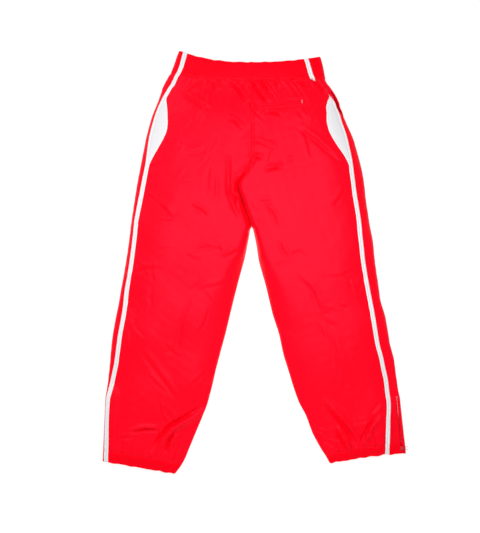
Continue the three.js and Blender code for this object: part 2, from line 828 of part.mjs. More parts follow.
function ankleZip(name, leg, droop, ringDroop) {
  const depths = rows.filter((depth) => depth >= ankleZipTop - 1);
  depths[depths.length - 1] = hemDepth - 1;
  for (const [half, facing] of [["back", 1], ["front", -1]]) {
    const strip = (from, to, count) => (depth) =>
      Array.from(
        { length: count },
        (_, i) => leg.roll(depth) + facing * (chainSplit / 2 + lerp(from, to, i / (count - 1))),
      );
    const tape = clothPiece(leg, depths, strip(0, tapeWidth, 6), tapeThickness, ankleTapeOffset);
    add(`ankle_zip_tape_${half}_${name}`, tape, materials.tape);
    const coil = clothPiece(leg, depths, strip(0, coilWidth, 2), coilThickness, coilLift);
    add(`ankle_zip_coil_${half}_${name}`, coil, materials.coil);
  }
  const stopDepths = [ankleZipTop - 1 - stopLength, ankleZipTop - 1 - gap];
  const stopHalf = chainSplit / 2 + coilWidth;
  const stop = clothPiece(
    leg,
    stopDepths,
    (depth) => [-1, 1].map((f) => leg.roll(depth) + f * stopHalf),
    coilThickness,
    coilLift,
  );
  add(`ankle_zip_stop_${name}`, stop, materials.metal);

  const frame = ankleFrame(leg);
  const over = coilLift + coilThickness / 2 + 0.5;
  const under = ankleTapeUnder - 0.7;
  const archBar = over + sliderPlate + linkEye + linkWall + 3 * linkPlay;
  const body = sliderBody({ under, over, archBar, archThickness: 1.2 });
  add(`ankle_slider_${name}`, body, materials.enamel, frame);

  const linkFrame = new THREE.Group();
  linkFrame.position.set(0, 0, archBar);
  linkFrame.rotation.y = degToRad(droop);
  frame.add(linkFrame);
  add(`ankle_pull_${name}`, pullLink(linkLength), materials.enamel, linkFrame);

  const ringFrame = new THREE.Group();
  ringFrame.position.set(linkLength, 0, 0);
  linkFrame.add(ringFrame);
  ringFrame.rotation.y = degToRad(ringDroop);
  const ring = new THREE.TorusGeometry(ringRadius, ringWire, 6, 16).translate(ringRadius, 0, 0);
  add(`ankle_ring_${name}`, ring, materials.metal, ringFrame);
}

// The back pocket's zip, hidden under two lips that meet over it.
function backPocketZip() {
  const lipFrom = chainSplit / 2;
  for (const [place, facing] of [["upper", 1], ["lower", -1]]) {
    const near = facing * lipFrom;
    const far = facing * (lipFrom + lipWidth);
    const span = [near, far].sort((a, b) => a - b);
    const halfLip = lipThickness / 2;
    const lipBox = box([-backHalf, span[0], -halfLip], [backHalf, span[1], halfLip]);
    add(`back_pocket_lip_${place}`, lipBox, materials.shell, backZip);
    const tapeFar = facing * (tapeWidth - 2);
    const tapeSpan = [near, tapeFar].sort((a, b) => a - b);
    const tape = box(
      [-backHalf, tapeSpan[0], -tapeDrop - tapeThickness],
      [backHalf, tapeSpan[1], -tapeDrop],
    );
    add(`back_zip_tape_${place}`, tape, materials.tape, backZip);
    const coilSpan = [near, facing * (lipFrom + coilWidth)].sort((a, b) => a - b);
    const coilTop = -tapeDrop - tapeThickness - gap;
    const coil = box(
      [-backHalf + 3, coilSpan[0], coilTop - coilThickness],
      [backHalf - 3, coilSpan[1], coilTop],
    );
    add(`back_zip_coil_${place}`, coil, materials.coil, backZip);
  }
  const frame = new THREE.Group();
  frame.position.set(backHalf - backSliderRest, 0, 0);
  frame.rotation.z = Math.PI / 2;
  backZip.add(frame);
  const over = -tapeDrop + gap;
  const under = -tapeDrop - tapeThickness - gap - coilThickness - 0.5;
  const archBar = cloth / 2 + linkEye + linkWall + 3 * linkPlay;
  const body = sliderBody({ under, over, archBar, archThickness: 0.8 });
  add("back_pocket_slider", body, materials.metal, frame);
  const linkFrame = new THREE.Group();
  linkFrame.position.set(0, 0, archBar);
  frame.add(linkFrame);
  add("back_pocket_pull", pullLink(backLinkLength), materials.metal, linkFrame);
}

for (const [name, leg] of Object.entries(legs)) {
  shellPanels(name, leg);
  sidePanel(name, leg);
  stripes(name, leg);
  cuff(name, leg);
  handPocket(name, leg);
}
waist();
pants.add(backZip);
backPocketZip();
backPocketBag();
ankleZip("left", left, 0, 0);
ankleZip("right", right, 3, 22);

// The origin is the middle of the floor under the whole garment.
pants.updateMatrixWorld(true);
const bounds = new THREE.Box3().setFromObject(pants, true);
const middleOfBounds = bounds.getCenter(new THREE.Vector3());
pants.position.set(-middleOfBounds.x, -middleOfBounds.y, -bounds.min.z);

export default pants;
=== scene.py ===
import logging
import math
from dataclasses import dataclass, field
from enum import Enum
from typing import Callable

import bpy
import numpy as np
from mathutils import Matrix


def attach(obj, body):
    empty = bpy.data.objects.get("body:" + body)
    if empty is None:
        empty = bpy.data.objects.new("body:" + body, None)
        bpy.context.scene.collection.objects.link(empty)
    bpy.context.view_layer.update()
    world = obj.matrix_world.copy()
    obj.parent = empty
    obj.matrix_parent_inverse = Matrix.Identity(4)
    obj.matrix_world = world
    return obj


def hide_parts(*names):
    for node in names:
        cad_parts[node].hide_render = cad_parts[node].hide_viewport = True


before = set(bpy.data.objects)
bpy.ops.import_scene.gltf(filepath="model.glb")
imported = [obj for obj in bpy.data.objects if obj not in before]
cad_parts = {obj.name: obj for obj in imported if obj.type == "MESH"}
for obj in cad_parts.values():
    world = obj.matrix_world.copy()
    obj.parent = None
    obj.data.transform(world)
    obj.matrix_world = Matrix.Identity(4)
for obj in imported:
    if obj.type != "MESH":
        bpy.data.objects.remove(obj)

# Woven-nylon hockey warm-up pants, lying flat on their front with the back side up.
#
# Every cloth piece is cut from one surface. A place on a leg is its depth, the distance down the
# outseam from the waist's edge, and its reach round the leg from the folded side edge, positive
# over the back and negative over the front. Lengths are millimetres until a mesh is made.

Array = np.ndarray
Shape = tuple[Array, list[Array]]  # vertices and faces
Pairs = tuple[tuple[float, float], ...]
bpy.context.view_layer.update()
LOG = logging.getLogger("pants")
ORIGIN = np.array([-9.88, 524.54, 0.0])  # the lay's zero in the part's frame

# ------------------------------------------------------------------ sizes, in mm
# Depths down the outseam: the legs start to part at RISE and are apart at FORK.
RISE = 335.0
FORK = 442.0
KNEE = 672.0
CALF = 835.0
ZIP_TOP = 867.0
HEM = 1017.0
ZIP_LENGTH = HEM - ZIP_TOP
CUFF = 991.0
HIP = 172.0
SEAT = (HIP + RISE) / 2
WAIST_CASING = 56.0
CUFF_CASING = 26.0
CLOTH = 1.6  # room that a panel and its lining take
SEAM = 0.3  # between two pieces sewn edge to edge
LOWEST = CLOTH / 2
RAMP = 70.0
PIPING = 5.0
INSERT_TOP = 118.0
INSERT_LENGTH = 170.0
INSERT_END = INSERT_TOP + INSERT_LENGTH
INSERT_WIDTH = 31.0
SLIT_TOP = 84.0
SLIT_LENGTH = 150.0
SLIT_END = SLIT_TOP + SLIT_LENGTH
BAG_DROP = 70.0
BAG_WIDTH = 150.0
BACK_ZIP = 112.0
BACK_ZIP_INSET = 22.0
BACK_ZIP_DEPTH = 131.0
BACK_ZIP_TILT = 4.5
TAPE_WIDTH = 11.0
TAPE = 0.8
COIL = 1.4
CHAIN_SPLIT = 1.6
CHAIN_GAP = 0.8  # between the two rows of teeth, room for the slider's post
LINK = 8.6
LINK_EYE = 1.15
LINK_WALL = 1.1
LINK_WIRE = 0.6
RING_RADIUS = 4.2
RING_WIRE = 0.65
PLATE = 1.1
TOOTH = 0.72  # half of a tooth's length
LEG_WIDTH = 182.0  # of the lying cuff, which the cuff's gathers are counted over
STEP = 0.05  # of the finite differences that give normals
DOME_REACH = 108.0  # from the fold to where the upper layer is at its full height
HEM_DROP = 5.5  # of the upper layer at the hem
SPLIT_TRIM = (1.7, -0.12)  # how far the legs part, and how far they meet above the fork
CREASE_GAIN = 2.8  # of every crease's stated depth
STITCH_LIFT = 0.82  # of the thread's middle over the cloth's


# ------------------------------------------------------------------ curves and noise
class Curve:
    """A monotone cubic through (place, value) pairs, level beyond both ends."""

    def __init__(self, pairs: Pairs) -> None:
        """Finds the tangents: the harmonic mean of the slopes on either side of a knot.

        Args:
            pairs: the knots, by rising place.
        """
        knots = np.array(pairs, float)
        self.xs, self.ys = knots[:, 0], knots[:, 1]
        slopes = np.diff(self.ys) / np.diff(self.xs)
        before, after = slopes[:-1], slopes[1:]
        total = np.where(before * after > 0, before + after, 1.0)
        inner = np.where(before * after > 0, 2 * before * after / total, 0.0)
        self.tangents = np.concatenate([slopes[:1], inner, slopes[-1:]])

    def __call__(self, x: Array | float) -> Array:
        """The curve's values.

        Args:
            x: places.

        Returns:
            One value for each place.
        """
        x = np.asarray(x, float)
        i = np.clip(np.searchsorted(self.xs, x, side="right") - 1, 0, len(self.xs) - 2)
        step = self.xs[i + 1] - self.xs[i]
        u = np.clip((x - self.xs[i]) / step, 0, 1)
        rest = 1 - u
        return (
            self.ys[i] * (1 + 2 * u) * rest**2
            + self.tangents[i] * step * u * rest**2
            + self.ys[i + 1] * u**2 * (3 - 2 * u)
            - self.tangents[i + 1] * step * u**2 * rest
        )


def smoothstep(x: Array, low: Array | float, high: Array | float) -> Array:
    """0 below low, 1 above high, and 3u^2 - 2u^3 between them."""
    u = np.clip((x - low) / (high - low), 0, 1)
    return u * u * (3 - 2 * u)


def rounded(distance: Array, fold: Array) -> Array:
    """Height of a quarter circle of radius fold, as a share of fold, at a distance from its end."""
    return np.sqrt(np.clip(1 - np.clip(1 - distance / fold, 0, 1) ** 2, 0, 1))


def bell(x: Array, width: float) -> Array:
    """exp(-(x / width)^2)."""
    return np.exp(-((x / width) ** 2))


def signed_power(x: Array, power: float) -> Array:
    """|x| to a power, with x's sign."""
    return np.sign(x) * np.abs(x) ** power


class Wander:
    """A smooth seeded signal in one or two dimensions: the mean of sines of nearby wavelengths."""

    def __init__(self, seed: int, wavelength: float, terms: int = 7) -> None:
        """Draws each term's direction, wavelength (0.6 to 1.7 of the stated one) and phase.

        Args:
            seed: of the random draws.
            wavelength: in mm.
            terms: how many sines are averaged.
        """
        rng = np.random.default_rng(seed)
        angle = rng.uniform(0, math.tau, terms)
        rate = math.tau / (wavelength * rng.uniform(0.6, 1.7, terms))
        self.fx, self.fy = rate * np.cos(angle), rate * np.sin(angle)
        self.rate = rate
        self.phase = rng.uniform(0, math.tau, terms)

    def plane(self, x: Array, y: Array) -> Array:
        """Signal over a plane, about -1 to 1."""
        waves = x[..., None] * self.fx + y[..., None] * self.fy + self.phase
        return np.sin(waves).mean(-1) * 1.8

    def line(self, s: Array) -> Array:
        """Signal along a line, about -1 to 1."""
        return np.sin(s[..., None] * self.rate + self.phase).mean(-1) * 1.8


# ------------------------------------------------------------------ the lay of the garment
MIDDLE = Curve(
    ((0, -6), (WAIST_CASING, -6), (HIP, 0), (SEAT, 0), (RISE - 43, -9), (RISE, -34),
     (RISE + 40, -22), (FORK, 1))
)
SIDE_HALF = Curve(
    ((0, 28), (WAIST_CASING, 25), (INSERT_TOP, 11.5), (HIP + 20, 11.5), (INSERT_END, 19),
     (FORK, 22), (KNEE, 24), (ZIP_TOP, 15), (HEM, 24))
)
INSERT_WAIST = Curve(((INSERT_TOP, 0), (126, 3.2), (160, 4.2), (186, 1.8), (206, 0), (RISE, 0)))
LOFT = Curve(
    ((0, 29), (WAIST_CASING, 30), (HIP, 44), (SEAT, 46), (FORK, 42), (KNEE, 36),
     (ZIP_TOP, 26), (HEM, 21))
)
FOLD = Curve(((KNEE, 7.0), (CALF, 5.2)))


class Side(Enum):
    """Which of the wearer's sides a piece is on; the value is the sign of x."""

    LEFT = -1
    RIGHT = 1


@dataclass(frozen=True)
class Lay:
    """How one leg lies: the knots of the curves that place its edges, in mm."""

    side: Side
    spread: tuple[float, ...]
    shift: Pairs
    lowering: tuple[float, float, float]
    roll: tuple[float, ...]
    bump: float
    outer_trim: Pairs
    inner_trim: Pairs
    stripe_trim: Pairs
    hem_trim: float
    slit_turn: float
    inner_ramp: Pairs
    hem_bow: float
    hem_round: float
    leaf_rise: float
    lap: Pairs
    seed: int


@dataclass(frozen=True)
class Crease:
    """A fold line on the upper layer: a pinched valley with a soft ridge beside it.

    With d the distance to its path, its height is depth * (ridge * bell(d - 1.2 width, 1.3 width)
    - bell(d, 0.75 width)), tapered to nothing at both ends as sin(pi * share) ** 0.6.
    """

    path: Pairs
    depth: float
    width: float
    ridge: float = 0.7

    def height(self, x: Array, y: Array) -> Array:
        """Height of the crease.

        Args:
            x: plan places across the garment.
            y: plan places down from the waist.

        Returns:
            Heights in mm, positive outwards.
        """
        pts = np.array(self.path, float)
        lengths = np.hypot(*np.diff(pts, axis=0).T)
        whole = lengths.sum()
        best = np.full(x.shape, 1e9)
        signed = np.zeros_like(x)
        place = np.zeros_like(x)
        start = 0.0
        for (p, q), length in zip(zip(pts[:-1], pts[1:]), lengths):
            ux, uy = (q - p) / length
            along = (x - p[0]) * ux + (y - p[1]) * uy
            held = np.clip(along, 0, length)
            away = np.hypot(x - p[0] - held * ux, y - p[1] - held * uy)
            across = (x - p[0]) * uy - (y - p[1]) * ux
            nearer = away < best
            best = np.where(nearer, away, best)
            signed = np.where(nearer, np.where(across < 0, -away, away), signed)
            place = np.where(nearer, (start + held) / whole, place)
            start += length
        taper = CREASE_GAIN * np.sin(np.pi * np.clip(place, 0, 1)) ** 0.6
        valley = bell(signed, 0.75 * self.width)
        ridge = bell(signed - 1.2 * self.width, 1.3 * self.width)
        total = taper * self.depth * (self.ridge * ridge - valley)
        return np.where(best < 5 * self.width, total, 0.0)


CREASES = (
    Crease(((144, 64), (168, 86), (186, 112)), 2.4, 4, 0.9),
    Crease(((-126, 70), (-142, 84), (-170, 110)), 2.0, 5),
    Crease(((-56, 74), (-36, 96), (-10, 132)), 2.2, 5),
    Crease(((2, 72), (8, 92), (26, 118), (48, 138)), 2.6, 5),
    Crease(((22, 70), (34, 92), (46, 108)), 2.0, 4),
    Crease(((88, 70), (120, 78), (156, 88)), 1.8, 5),
    Crease(((-170, 112), (-140, 128), (-102, 148)), 1.4, 6),
    Crease(((-100, 72), (-88, 100)), 1.4, 5),
    Crease(((56, 70), (66, 92)), 1.4, 4),
    Crease(((-62, 168), (-44, 176), (-26, 194)), 1.6, 4),
    Crease(((34, 154), (54, 156), (78, 162)), 1.8, 4),
    Crease(((112, 192), (160, 226), (218, 279)), 1.4, 7),
    Crease(((6, 255), (-2, 276), (-12, 294)), 2.2, 4),
    Crease(((30, 302), (50, 296), (80, 291)), 1.8, 4),
    Crease(((-2, 262), (10, 268), (30, 270)), 1.6, 4),
    Crease(((-44, 334), (-26, 314), (-4, 292)), 4.2, 4.5, 0.5),
    Crease(((-40, 326), (-39, 350), (-36, 380)), 4.0, 3.5, 0.3),
    Crease(((-56, 262), (-58, 300), (-58, 350), (-44, 390), (-30, 420)), -2.4, 7, 0.2),
    Crease(((-150, 388), (-130, 396), (-112, 412)), 1.5, 5),
    Crease(((-232, 384), (-216, 398), (-200, 418)), 1.2, 6),
    Crease(((-70, 517), (-50, 506), (-26, 494)), 2.2, 5),
    Crease(((-276, 750), (-240, 800), (-188, 868)), 1.5, 7),
    Crease(((-112, 884), (-160, 912), (-204, 937), (-232, 968), (-252, 1004)), 4.2, 7),
    Crease(((-304, 955), (-268, 946), (-232, 948)), 2.6, 5),
    Crease(((-190, 952), (-206, 975), (-214, 1004)), 3.0, 5),
    Crease(((174, 878), (200, 902), (223, 927), (246, 956), (268, 992)), 3.6, 7),
    Crease(((208, 942), (226, 972), (243, 1004)), 3.2, 5),
    Crease(((318, 906), (294, 936), (274, 978)), 3.0, 6),
    Crease(((320, 878), (300, 905)), 1.2, 6),
    Crease(((110, 560), (150, 600), (176, 660)), 0.9, 8),
    Crease(((-150, 620), (-176, 680), (-186, 740)), 0.9, 8),
    Crease(((190, 700), (214, 760), (222, 820)), 0.8, 8),
)


def random_creases(seed: int, count: int) -> tuple[Crease, ...]:
    """Small seeded creases of a light crumpled cloth.

    Args:
        seed: of the random draws.
        count: how many are drawn.

    Returns:
        The creases, each a bent line of three points.
    """
    rng = np.random.default_rng(seed)
    made = []
    for _ in range(count):
        centre = np.array([rng.uniform(-360, 370), rng.uniform(80, 1000)])
        angle = rng.normal(0.9, 0.7) * rng.choice([-1, 1])
        half = rng.uniform(12, 45)
        way = np.array([math.cos(angle), math.sin(angle)]) * half
        bend = np.array([-way[1], way[0]]) * rng.uniform(-0.25, 0.25)
        path = tuple(map(tuple, (centre - way, centre + bend, centre + way)))
        made.append(Crease(path, rng.uniform(0.3, 1.0), rng.uniform(3, 7)))
    return tuple(made)


CRUMPLE = random_creases(4, 130)


@dataclass(frozen=True)
class Casing:
    """Where a surface point lies against a casing, and the wandering signals there."""

    share: Array  # across the casing, 0 to 1
    line: Array  # depth past the sewn line
    away: Array  # distance out of the casing, beyond the sewn line
    band: Array  # 1 inside the casing
    wander: Array
    puff: Array
    sewn: Array
    lower: Array  # 1 on the underside


@dataclass(frozen=True)
class Gather:
    """An elastic casing: its ribs, its sewn line and the pleats that run out of it, in mm.

    The ribs are |sin| of the reach over rib_pitch. The sewn line is pressed in by sewn_depth,
    unevenly. The pleats are |sin| ** 0.8 of the reach over pleat_pitch and die away
    exponentially over a run that wanders. Each "under" is how much the underside loses.
    """

    rib_pitch: float
    rib_wander: float
    rib_lean: float
    rib_height: float
    rib_under: float
    swell: float
    sewn_level: float
    sewn_swing: float
    sewn_least: float
    sewn_depth: float
    sewn_under: float
    pleat_pitch: float
    pleat_lean: float
    pleat_height: float
    pleat_swing: float
    pleat_level: float
    pleat_under: float
    run: tuple[float, float, float, float]

    def height(self, reach: Array, depth: Array, place: Casing) -> Array:
        """Height of the gathers along the normal.

        Args:
            reach: distance round the leg, as the pleats are counted.
            depth: down the outseam.
            place: where the casing is and the signals that make it uneven.

        Returns:
            Heights in mm.
        """
        lower, wander, puff = place.lower, place.wander, place.puff
        ribs = np.abs(
            np.sin(math.pi * (reach + self.rib_wander * wander) / self.rib_pitch
                   + self.rib_lean * depth)
        ) - 0.6
        height = self.rib_height * ribs * place.band * (1 - self.rib_under * lower)
        height = height + self.swell * np.sin(np.pi * np.clip(place.share, 0, 1)) * (1 - lower)
        sewn = self.sewn_level + self.sewn_swing * np.clip(place.sewn, self.sewn_least, 1)
        pressed = self.sewn_depth * sewn * bell(place.line, 2.4)
        height = height - pressed * (1 - self.sewn_under * lower)
        lean = self.pleat_lean * place.away * puff
        pleats = np.abs(np.sin(math.pi * (reach + 5 * wander + lean) / self.pleat_pitch)) ** 0.8
        start, swing, shift, most = self.run
        run = start + swing * np.clip(puff + shift, 0, most)
        fold = self.pleat_height * (0.6 + self.pleat_swing * puff) * (pleats - self.pleat_level)
        fade = np.exp(-place.away / run) * smoothstep(place.away, 0, 4)
        return height + fold * fade * (1 - self.pleat_under * lower)


WAIST_GATHER = Gather(
    rib_pitch=6.2, rib_wander=2.4, rib_lean=0.02, rib_height=1.0, rib_under=0.5, swell=1.3,
    sewn_level=0.55, sewn_swing=0.75, sewn_least=-0.5, sewn_depth=1.5, sewn_under=0.6,
    pleat_pitch=17, pleat_lean=0.10, pleat_height=5.6, pleat_swing=0.6, pleat_level=0.6,
    pleat_under=1.0, run=(17, 22, 0.4, 1.4),
)
CUFF_GATHER = Gather(
    rib_pitch=6.8, rib_wander=2.0, rib_lean=0.0, rib_height=1.1, rib_under=0.7, swell=1.2,
    sewn_level=0.45, sewn_swing=0.8, sewn_least=-0.4, sewn_depth=1.7, sewn_under=0.7,
    pleat_pitch=15, pleat_lean=0.08, pleat_height=5.4, pleat_swing=0.55, pleat_level=0.55,
    pleat_under=0.8, run=(20, 26, 0.3, 1.3),
)


class Leg:
    """One half of the pants as a surface of depth and reach."""

    def __init__(self, lay: Lay) -> None:
        """Builds the curves that place the leg's folded edge, inner edge, outseam and gathers.

        Args:
            lay: how the leg lies.
        """
        spread, roll = lay.spread, lay.roll
        self.lay = lay
        self.sign = lay.side.value
        self.name = lay.side.name.lower()
        self._reach = Curve(
            ((0, 178 + spread[0]), (WAIST_CASING, 178 + spread[1]), (HIP, 241 + spread[2]),
             (RISE, 281 + spread[3]), (FORK, 298 + spread[4]), (KNEE, spread[5]),
             (CALF, spread[6]), (ZIP_TOP, spread[7]))
        )
        reach = float(self._reach(FORK))
        thigh = RISE + (FORK + KNEE - 2 * RISE) / 2
        self._width = Curve(
            ((FORK, reach - 2), (thigh, (reach + 269) / 2 - 3), (KNEE, 269), (CALF, 248),
             ((CALF + CUFF) / 2, 223), (HEM, 182))
        )
        self._outer_shift = Curve(lay.shift)
        self._inner_shift = Curve(
            ((0, 27.5), (WAIST_CASING, 16.5), (HIP, 0), (FORK, 0), (KNEE, 35),
             (CALF, lay.lowering[0]), (ZIP_TOP + 30, lay.lowering[1]), (HEM, lay.lowering[2]))
        )
        self._roll = Curve(
            ((0, roll[0]), (WAIST_CASING, roll[1]), (HIP, roll[2]), (RISE, roll[3]),
             (FORK, roll[4]), (KNEE, roll[5]), (CALF - 20, roll[6]), (ZIP_TOP, roll[7]))
        )
        self._outer_trim = Curve(lay.outer_trim)
        self._inner_trim = Curve(lay.inner_trim)
        self._stripe_trim = Curve(lay.stripe_trim)
        self._inner_ramp = Curve(lay.inner_ramp)
        self._lap = Curve(lay.lap)
        self._ribs = Wander(lay.seed + 1, 46)
        self._puffs = Wander(lay.seed + 2, 60)
        self._drape = Wander(lay.seed + 3, 170)
        self._ripple = Wander(lay.seed + 4, 34)
        self._hem = Wander(lay.seed + 5, 30)

    # -------------------------------------------------------------- plan
    def reach(self, depth: Array) -> Array:
        """Distance of the folded side edge from the middle."""
        return self._straight(self._reach, self.lay.spread, depth)

    def roll(self, depth: Array) -> Array:
        """How far round the fold the outseam lies, negative on the underside."""
        return self._straight(self._roll, self.lay.roll, depth)

    @staticmethod
    def _straight(curve: Curve, knots: tuple[float, ...], depth: Array) -> Array:
        """A curve above the ankle zip, and a straight line between the last two knots along it."""
        share = (np.asarray(depth, float) - ZIP_TOP) / ZIP_LENGTH
        return np.where(share <= 0, curve(depth), knots[7] + (knots[8] - knots[7]) * share)

    def edges(self, depth: Array, trimmed: bool = True) -> tuple[Array, Array, Array, Array, Array]:
        """Plan places of a section's two ends and its width.

        Args:
            depth: depths down the outseam.
            trimmed: whether the small waves of the edges are added.

        Returns:
            Outer x and y, inner x and y, and the distance between the ends.
        """
        depth = np.asarray(depth, float)
        trim = 1.0 if trimmed else 0.0
        reach = self.reach(depth)
        if trimmed:
            split = SPLIT_TRIM[0] * smoothstep(depth, FORK - 14, FORK + 10) + SPLIT_TRIM[1]
        else:
            split = (LOWEST + SEAM) * smoothstep(depth, RISE - 125, RISE - 75)
            split = split + smoothstep(depth, RISE, FORK)
        inner = np.where(
            depth < FORK, self.sign * MIDDLE(depth) + 0.01, reach - self._width(depth)
        )
        outer_x = self.sign * (reach + trim * self._outer_trim(depth))
        inner_x = self.sign * (inner + split - trim * self._inner_trim(depth))
        low = trim * self.lay.hem_trim * smoothstep(depth, CUFF - 90, HEM)
        dip = trim * 2.5 * (1 - smoothstep(depth, 0, WAIST_CASING))
        outer_y = -(depth + self._outer_shift(depth) + low)
        inner_y = -(depth + self._inner_shift(depth) + low + dip)
        width = np.hypot(outer_x - inner_x, outer_y - inner_y)
        return outer_x, outer_y, inner_x, inner_y, width

    def girth(self, depth: Array) -> Array:
        """Length of one layer from the folded side edge to the inner edge."""
        return self.edges(depth)[4] + (math.pi - 2) * FOLD(depth)

    def base(self, depth: Array, around: Array, trimmed: bool = True) -> Array:
        """The smooth lay: two flat layers joined by round folds, the upper one lofted.

        Args:
            depth: depths down the outseam.
            around: reach round the leg from the folded edge, of the same shape.
            trimmed: whether it is the visible cloth, with the small waves of its edges. If not,
                it is the plainer lay that the hardware and the pocket bags are placed on.

        Returns:
            Points in the lay's frame, with a last axis of 3.
        """
        outer_x, outer_y, inner_x, inner_y, width = self.edges(depth, trimmed)
        fold = FOLD(depth)
        length = width + (math.pi - 2) * fold
        quarter = math.pi / 2 * fold
        along = np.abs(around)
        inset = fold + along - quarter
        inset = np.where(along < quarter, fold * (1 - np.cos(along / fold)), inset)
        far = np.clip(length - along, 0, None)
        inset = np.where(far < quarter, width - fold * (1 - np.cos(far / fold)), inset)
        height = self._height(depth, around, inset, width, trimmed)
        share = inset / width
        down = share
        if trimmed:
            bow = 1 + 1.4 * (1 - smoothstep(depth, WAIST_CASING, HIP))
            down = 1 - np.clip(1 - share, 0, 1) ** bow
            hem = 1 + (self.lay.hem_bow - 1) * smoothstep(depth, CUFF - 60, HEM)
            down = np.clip(down, 0, 1) ** hem
        x = outer_x + (inner_x - outer_x) * share
        y = outer_y + (inner_y - outer_y) * down
        if trimmed:
            y = y + self._hem_wave(depth, around, width, width - inset)
        return np.stack([x, y, height + 0 * x], -1)

    def _height(self, depth: Array, around: Array, inset: Array, width: Array,
                trimmed: bool) -> Array:
        """Height of the smooth lay over the floor.

        Args:
            depth: depths down the outseam.
            around: reach round the leg, positive on the upper layer.
            inset: plan distance in from the folded side edge.
            width: plan distance between the section's ends.
            trimmed: as for base.

        Returns:
            Heights of the cloth's middle surface.
        """
        fold = FOLD(depth)
        rise = smoothstep(inset, 0, RAMP)
        loft = LOFT(depth)
        if trimmed:
            close = smoothstep(depth, 292, 345)
            dome = 1 - np.clip(1 - inset / DOME_REACH, 0, 1) ** 2.4
            zipped = smoothstep(depth, ZIP_TOP - 110, ZIP_TOP - 20)
            rise = dome + (rise - dome) * zipped
            ramp = 1.4 * self._inner_ramp(depth)
            inner_rise = 1 - np.clip(1 - (width - inset) / ramp, 0, 1) ** 2.2
            loft = loft - HEM_DROP * smoothstep(depth, CUFF - 6, HEM)
        else:
            close = smoothstep(depth, RISE - 75, RISE)
            inner_rise = smoothstep(width - inset, 0, RAMP)
        edge = rounded(inset, fold) * (1 - close * (1 - rounded(width - inset, fold)))
        rise = rise * (1 - close * (1 - inner_rise))
        centre = LOWEST + fold
        top = centre + fold * edge + (loft - centre - fold) * rise
        height = np.where(around >= 0, top, centre - fold * edge)
        zip_inset = fold + np.abs(self.roll(depth)) - math.pi / 2 * fold
        over_zip = 1 - smoothstep(np.abs(inset - zip_inset), 13, 26)
        return height + self.lay.bump * over_zip * smoothstep(depth, ZIP_TOP - 45, ZIP_TOP - 8)

    def _hem_wave(self, depth: Array, around: Array, width: Array, to_inner: Array) -> Array:
        """Shift of the cloth up the leg where its hem and its waist edge wave.

        Args:
            depth: depths down the outseam.
            around: reach round the leg.
            width: plan distance between the section's ends.
            to_inner: plan distance to the inner edge, whose corner at the hem is rounded.

        Returns:
            Shifts towards the waist.
        """
        corner = np.clip(1 - to_inner / (1.6 * self.lay.hem_round), 0, 1)
        lifted = self.lay.hem_round * (1 - np.sqrt(1 - 0.98 * corner**2))
        free = smoothstep(np.abs(around - self.roll(depth)), 14, 34)
        wave = self._hem.line(np.abs(around) / width * LEG_WIDTH) * free
        at_waist = 0.7 * self._hem.line(np.abs(around) + 900) * (1 - smoothstep(depth, 0, 18))
        return (
            lifted * smoothstep(depth, CUFF - 30, HEM)
            + 1.2 * self.lay.hem_bow * wave * smoothstep(depth, CUFF - 8, HEM)
            + at_waist
        )

    def frame_at(self, depth: float, around: float) -> tuple[Array, Array]:
        """Point and outward normal of the plain lay, where the hardware is mounted."""
        return self.base(depth, around, False), self.normal(depth, around, False)

    def normal(self, depth: Array, around: Array, trimmed: bool = True) -> Array:
        """Outward unit normal of the smooth lay: the cross product of two small steps.

        Args:
            depth: down the outseam.
            around: reach round the leg.
            trimmed: as for base.

        Returns:
            Unit vectors, with a last axis of 3.
        """
        end = self.edges(depth, trimmed)[4] + (math.pi - 2) * FOLD(depth) - 1.2 * STEP
        around = np.clip(around, -end, end)
        across = self.base(depth, around + STEP, trimmed) - self.base(depth, around - STEP, trimmed)
        down = self.base(depth + STEP, around, trimmed) - self.base(depth - STEP, around, trimmed)
        n = np.cross(across, down) * self.sign
        return n / np.linalg.norm(n, axis=-1, keepdims=True)

    # -------------------------------------------------------------- relief
    def relief(self, depth: Array, around: Array, point: Array) -> Array:
        """Height of gathers, folds and creases along the normal.

        Args:
            depth: down the outseam.
            around: reach round the leg.
            point: places of the smooth lay there, with a last axis of 3.

        Returns:
            Heights in mm. Creases, crumples and a slow wander are on the upper layer only.
        """
        x, y = point[..., 0], -point[..., 1]
        upper = smoothstep(around, 4, 26)
        lower = smoothstep(-around, 4, 20)
        cuffed = around / self.edges(depth)[4] * LEG_WIDTH
        past_waist, past_cuff = depth - WAIST_CASING, depth - CUFF
        waist = Casing(
            share=depth / WAIST_CASING, line=past_waist, away=np.clip(past_waist, 0, None),
            band=smoothstep(depth, 2, 8) * (1 - smoothstep(past_waist, -6, 0)),
            wander=self._ribs.line(around), puff=self._puffs.line(around),
            sewn=self._puffs.line(around + 300), lower=lower,
        )
        cuff = Casing(
            share=past_cuff / CUFF_CASING, line=past_cuff, away=np.clip(-past_cuff, 0, None),
            band=smoothstep(past_cuff, 0, 5) * (1 - smoothstep(depth, HEM - 4, HEM)),
            wander=self._ribs.line(cuffed + 400), puff=self._puffs.line(cuffed * 1.3 + 700),
            sewn=self._puffs.line(cuffed + 300), lower=lower,
        )
        clear = smoothstep(np.abs(around - self.roll(depth)), 12, 26)
        zipped = 1 - (1 - clear) * smoothstep(depth, ZIP_TOP - 30, ZIP_TOP)
        height = WAIST_GATHER.height(around, depth, waist)
        height = height + CUFF_GATHER.height(cuffed, depth, cuff) * zipped
        body = smoothstep(depth, 60, 110) * (1 - smoothstep(depth, 950, CUFF))
        height = height + 2.4 * self._drape.plane(x, y) * body * upper
        height = height + 0.35 * self._ripple.plane(x, y) * body * (1 - lower)
        creases = sum(crease.height(x, y) for crease in (*CREASES, *CRUMPLE))
        to_seam = self.girth(depth) - np.abs(around)
        fork = smoothstep(depth, 262, 300) * (1 - smoothstep(to_seam, 2, 11))
